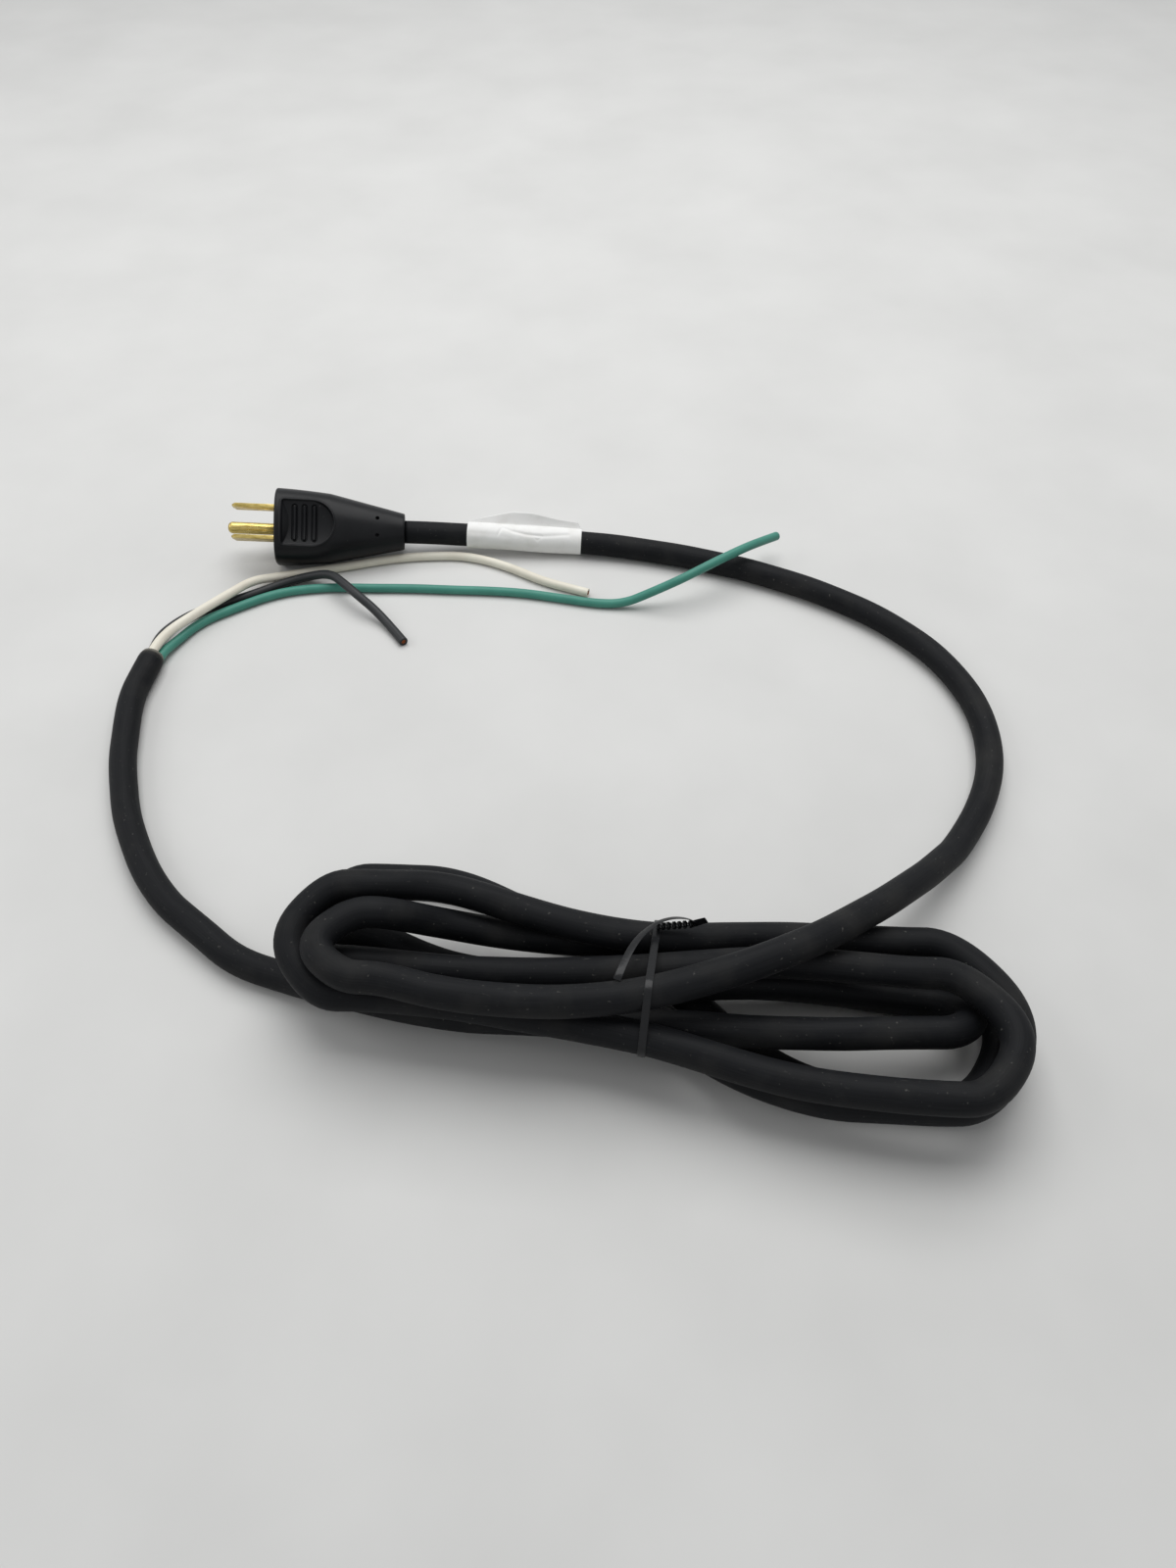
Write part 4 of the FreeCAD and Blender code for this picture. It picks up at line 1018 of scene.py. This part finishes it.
# %% Label creases
# from (along, angle) to (along, angle), then depth and width, in millimetres and degrees
CREASES = (
    (14.6, -5, 19, -22, 0.30, 0.6), (19, -22, 24.7, -34, 0.42, 0.7),
    (24.7, -34, 31.5, -37, 0.42, 0.7), (31.5, -37, 42.4, -24, 0.28, 0.8),
    (14.6, -5, 13, -44, 0.24, 0.6), (1.5, -40, 13, -44, 0.12, 0.9),
    (28.4, -45, 29.7, -58, 0.16, 0.5), (29.7, -58, 31.5, -38, 0.20, 0.5),
    (13, -44, 17, -52, 0.10, 0.9))
DEEPEST, STAND_OFF, WAVE, WAVE_LENGTH = 0.4, 0.10, 0.12, 5.1


def crease_depth(s, degrees):
    """The deepest, over the creases, of depth * exp(-(distance to its line / width) ** 2)."""
    arc = np.radians(degrees) * LABEL_R
    depth = np.zeros_like(s)
    for s1, a1, s2, a2, deep, width in CREASES:
        one = np.array([s1, math.radians(a1) * LABEL_R])
        two = np.array([s2, math.radians(a2) * LABEL_R])
        way = two - one
        share = ((s - one[0]) * way[0] + (arc - one[1]) * way[1]) / way.dot(way)
        share = np.clip(share, 0, 1)
        away = np.hypot(s - one[0] - share * way[0], arc - one[1] - share * way[1])
        depth = np.maximum(depth, deep * np.exp(-(away / width) ** 2))
    return depth


angle_deg = np.degrees(np.arctan2(outline[..., 0], outline[..., 1]))
s_grid = np.repeat(label_s[:, None], outline.shape[1], axis=1)
inward = label_at[:, None, :] - label_grid
inward = inward / np.linalg.norm(inward, axis=-1, keepdims=True)
on_sleeve = np.zeros(label_grid.shape[:2])
on_sleeve[:, :SLEEVE_POINTS] = 1.0
depth = np.minimum(crease_depth(s_grid, angle_deg), DEEPEST) * on_sleeve
loose = WAVE * np.sin(s_grid / WAVE_LENGTH + np.radians(angle_deg) * 2) * on_sleeve
label_grid = label_grid + inward * (depth - STAND_OFF * on_sleeve - loose)[..., None]
print("creases: %d, %.2f mm deep at most" % (len(CREASES), depth.max()))

# %% [markdown]
# ### The label's ends
# At each end the paper's edge turns in to just clear of the cord and goes a little way under, so
# that the label closes without a visible cap.

# %% Label piece
LABEL_INNER_R, LABEL_TURN_IN = 4.95, 4.0
ends = []
for row, centre, into in ((0, label_at[0], run_along), (-1, label_at[-1], -run_along)):
    rim = centre + (label_grid[row] - centre) * (LABEL_INNER_R / LABEL_R)
    ends.append(np.array([rim, rim + into * LABEL_TURN_IN]))
label_grid = np.concatenate([ends[0][::-1], label_grid, ends[1]])
label = grid_piece("paper_label", capped(place(label_grid)))
print("label: %d faces" % len(label.data.polygons))

# %% [markdown]
# ### Paper
# Uncoated white label paper is matt and a little uneven in tone where hands have soiled it, in
# patches 8 mm across. Paper fibres are a few hundredths of a millimetre wide. They are drawn at
# 0.4 mm, so that the surface isn't perfectly even.

# %% Paper finish
paper, tree, shader = finish("plain_white_paper", Roughness=0.62)
where = node(tree, "TexCoord", {}).outputs["Object"]
soiled = clouds(tree, where, 130.0, 0.5, 0.8, 5.0)
fibre = clouds(tree, where, 2600.0, 0.3, 0.7, 3.0)
feed(tree, shader, {
    "Base Color": layer(tree, colour("#e9e9e7"), soiled, 1.0, "#dcdbd7"),
    "Normal": node(tree, "Bump", {"Height": fibre, "Distance": 0.010 * MM}).outputs["Normal"]})
dress(label, paper)
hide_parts("cord_label")
print("paper:", len(tree.nodes), "nodes")

# %% [markdown]
# ## The tie
# A twist tie is a flat plastic ribbon with a steel wire in its middle. It is pulled tight round
# the hank and its two ends are wrung together. The ribbon is one flat section with a raised
# middle, carried along each route: p + wide * its wide way + thin * its thin way.

# %% Ribbon section
TIE_WIDTH, TIE_HALF_THIN = 2.2, 0.14
WIRE_RISE, WIRE_SPREAD = 0.75, 0.32
SECTION_STEPS = 22


def ribbon_section():
    """Offsets (wide, thin) round the ribbon: a flat superellipse and a bump over the wire."""
    a = np.linspace(0, 2 * math.pi, SECTION_STEPS, endpoint=False)
    wide = TIE_WIDTH / 2 * np.sign(np.cos(a)) * np.abs(np.cos(a)) ** 0.6
    thin = TIE_HALF_THIN * np.sign(np.sin(a)) * np.abs(np.sin(a)) ** 0.6
    thin = thin * (1 + WIRE_RISE * np.exp(-(wide / WIRE_SPREAD) ** 2))
    return wide * MM, thin * MM


print("ribbon: %.2f mm thick over the wire" % (2 * ribbon_section()[1].max() / MM))

# %% [markdown]
# ### Ribbon plastic
# The ribbon is thin PVC film pressed over the wire. It is smooth, so it glints where it bends,
# and it is crinkled from handling in ripples of 1.1 mm.

# %% Ribbon finish
tie_plastic, tree, shader = finish("twist_tie_plastic", Roughness=0.28, Specular_IOR_Level=0.25)
where = node(tree, "TexCoord", {}).outputs["Object"]
crinkle = clouds(tree, where, 900.0, 0.25, 0.75, 3.0)
feed(tree, shader, {
    "Base Color": layer(tree, colour("#0d0e10"), crinkle, 1.0, "#17181a"),
    "Normal": node(tree, "Bump", {"Height": crinkle, "Distance": 0.03 * MM}).outputs["Normal"]})
print("ribbon plastic:", len(tree.nodes), "nodes")


# %% [markdown]
# ### A ribbon along a line
# Band, wrung ends and tails differ only in the line that they follow and in how the ribbon turns
# about it, so one function makes them all.

# %% Ribbon pieces
def ribbon_piece(name, line, wide_way, thin_way, closed=False):
    """The section carried along a line: p + wide * wide_way + thin * thin_way."""
    wide, thin = ribbon_section()
    grid = (line[:, None] + wide[None, :, None] * wide_way[:, None]
            + thin[None, :, None] * thin_way[:, None])
    grid = np.concatenate([grid, grid[:1]]) if closed else capped(grid)
    piece = grid_piece(name, grid[:, ::-1])
    dress(piece, tie_plastic)
    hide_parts("twist_tie")
    print(name, len(piece.data.polygons), "faces")


# %% [markdown]
# ### The band
# The band's route is what a stretched string does round the strands: for each direction, the
# strand that lies furthest out, plus its radius. So the strands that cross the tie's plane are
# found first, from the jacket's own line.

# %% Strands inside the tie
TIE_AT = place([29.6, -104.0, 0.0])
TIE_TURN = math.radians(-8.5)
HANK_BACK = -0.05           # metres: the loose cord crosses the tie's plane behind this y
tie_normal = np.array([math.cos(TIE_TURN), math.sin(TIE_TURN), 0.0])
tie_across = np.array([-math.sin(TIE_TURN), math.cos(TIE_TURN), 0.0])
beyond = (jacket_line - TIE_AT) @ tie_normal
crossing = np.nonzero(beyond[:-1] * beyond[1:] < 0)[0]
crossing = crossing[jacket_line[crossing, 1] < HANK_BACK]
share = (beyond[crossing] / (beyond[crossing] - beyond[crossing + 1]))[:, None]
strand_at = jacket_line[crossing] + share * (jacket_line[crossing + 1] - jacket_line[crossing])
strand_yz = np.column_stack([(strand_at - TIE_AT) @ tie_across, strand_at[:, 2]])
print("the tie goes round %d strands" % len(crossing))

# %% [markdown]
# ### The stretched string
# The string's points are worked out for 360 directions. They crowd where it turns round a strand
# and are far apart where it runs straight, so they are evened out before the ribbon follows them.

# %% Tie band
TIE_ROOM = 0.34             # from the strands' skin to the middle of the ribbon
BAND_WAYS, BAND_POINTS = 360, 240
ways = np.linspace(0, 2 * math.pi, BAND_WAYS + 1)[:-1]
ways = np.column_stack([np.cos(ways), np.sin(ways)])
furthest = strand_yz[np.argmax(ways @ strand_yz.T, axis=1)]
band_yz = furthest + ways * (CORD_D / 2 + TIE_ROOM) * MM
band_yz = np.concatenate([band_yz, band_yz[:1]])
gone = np.concatenate([[0], np.cumsum(np.linalg.norm(np.diff(band_yz, axis=0), axis=1))])
even = np.linspace(0, gone[-1], BAND_POINTS + 1)[:-1]
band_yz = np.column_stack([np.interp(even, gone, band_yz[:, k]) for k in (0, 1)])
band_line = TIE_AT + band_yz[:, :1] * tie_across + band_yz[:, 1:] * np.array([0, 0, 1.0])
band_along = unit(np.roll(band_line, -1, axis=0) - np.roll(band_line, 1, axis=0))
band_out = np.cross(band_along, tie_normal)
band_wide = np.repeat(tie_normal[None], len(band_line), axis=0)
ribbon_piece("tie_band", band_line, band_wide, band_out, closed=True)
print("tie band: %.0f mm round" % (gone[-1] / MM))

# %% [markdown]
# ### The wrung ends
# Fingers have wrung the ends into a short rope: two ribbons side by side, both rolled three and a
# half times about the line between them. Past it, one end stands up short. The other one comes
# back over the rope in a low loop and hangs down over the hank.

# %% Wrung ends, loop and tails
KNOT_POINTS, KNOT_ROLL, KNOT_APART, KNOT_SWELL = 141, 1260, 0.42, 0.25
KNOT_ENDS = [(32.2, -85.6, 31.3), (43.2, -85.2, 32.2)]
TIE_TAIL_SHORT = [(42.2, -85.3, 32.1), (44.4, -85.1, 33.0), (46.4, -85.3, 34.3)]
TIE_TAIL_LONG = [
    (43.4, -85.4, 32.0), (43.2, -84.9, 33.6), (38.0, -84.7, 35.0), (33.2, -85.3, 34.0),
    (30.0, -87.4, 33.4), (27.5, -90.4, 34.4), (24.9, -94.8, 35.6), (22.7, -100.2, 36.8),
    (20.9, -105.2, 37.6), (20.2, -106.6, 36.4)]


def rolled(line, start_degrees, end_degrees):
    """The two side directions along a line, rolled evenly from one angle to another."""
    along, across, up = travelling_frames(line)
    angle = np.radians(np.linspace(start_degrees, end_degrees, len(line)))[:, None]
    return across * np.cos(angle) + up * np.sin(angle), up * np.cos(angle) - across * np.sin(angle)


knot_start, knot_end = place(KNOT_ENDS)
knot_line = knot_start + np.linspace(0, 1, KNOT_POINTS)[:, None] * (knot_end - knot_start)
knot_wide, knot_thin = rolled(knot_line, 0, KNOT_ROLL)
swell = 1 + KNOT_SWELL * np.sin(np.linspace(0, 9 * math.pi, KNOT_POINTS))[:, None]
for index, side in enumerate((-1, 1)):
    one = knot_line + side * KNOT_APART * MM * knot_thin * swell
    ribbon_piece("tie_knot_%d" % (index + 1), one, knot_wide, knot_thin)
for name, route, first, last in (
        ("tie_tail_short", TIE_TAIL_SHORT, 60, 75), ("tie_tail_long", TIE_TAIL_LONG, 95, 38)):
    line = spline_line(name, route, 0.3 * MM)
    ribbon_piece(name, line, *rolled(line, first, last))
print("wrung ends: %.1f turns" % (KNOT_ROLL / 360))

# %% [markdown]
# ## Floor, light and view
# The bundle lies on a plain pale board with matt paint, which has only a slow drift of tone, over
# 7 cm or so. It is large, so that its edge is far outside the view.

# %% Floor
FLOOR_HALF = 3
corners = [(-1, -1), (1, -1), (1, 1), (-1, 1)]
floor_mesh = bpy.data.meshes.new("floor")
floor_mesh.from_pydata(
    [(a * FLOOR_HALF, b * FLOOR_HALF, 0) for a, b in corners], [], [(0, 1, 2, 3)])
floor = bpy.data.objects.new("floor", floor_mesh)
bpy.context.scene.collection.objects.link(floor)
painted, tree, shader = finish("matt_painted_board", Roughness=0.7)
where = node(tree, "TexCoord", {}).outputs["Object"]
drift = clouds(tree, where, 14.0, 0.3, 0.7)
feed(tree, shader, {"Base Color": layer(tree, colour("#d2d2d0"), drift, 1.0, "#cbcbc9")})
floor_mesh.materials.append(painted)
print("floor: %d m wide" % (2 * FLOOR_HALF))

# %% [markdown]
# ### Lamps
# The main light is a broad soft lamp that hangs above and behind the bundle. It is large, because
# a small one would put hard shadows between the strands. A weaker one at the left stands for a
# window, and shows the roundness of the cord on that side.

# %% Lamps
def lamp(name, location, size, power):
    """A square area lamp at a place, turned to face the middle of the object."""
    light = bpy.data.lights.new(name, "AREA")
    light.size = size
    light.energy = power
    holder = bpy.data.objects.new(name, light)
    holder.location = location
    holder.rotation_euler = (-Vector(location)).to_track_quat("-Z", "Y").to_euler()
    bpy.context.scene.collection.objects.link(holder)
    print("lamp:", name, power, "W")


lamp("overhead", (0.05, 0.45, 1.1), 1.1, 12.0)
lamp("window", (-1.1, 0.1, 0.8), 0.7, 3.0)

# %% [markdown]
# ### The room's light
# Light from the walls comes from all sides, so the world is a plain pale grey. It is weaker as a
# lamp than it looks: the eye, and a reflection, see a pale wall, but a strong fill would wash the
# shadows out. So its strength depends on the kind of ray that meets it.

# %% World and view
FILL_STRENGTH, SEEN_STRENGTH = 0.42, 0.8
world = bpy.data.worlds.new("studio")
bpy.context.scene.world = world
world.use_nodes = True
tree = world.node_tree
rays = node(tree, "LightPath", {}).outputs
seen = node(tree, "Math", {0: rays["Is Camera Ray"], 1: rays["Is Glossy Ray"]},
            operation="MAXIMUM").outputs[0]
seen = node(tree, "Math", {0: seen, 1: rays["Is Transmission Ray"]},
            operation="MAXIMUM").outputs[0]
strength = node(tree, "MapRange", {0: seen, 3: FILL_STRENGTH, 4: SEEN_STRENGTH}).outputs[0]
feed(tree, tree.nodes["Background"], {"Color": colour("#f2f3f5"), "Strength": strength})
bpy.context.scene.view_settings.view_transform = "Standard"
print("world:", len(tree.nodes), "nodes")
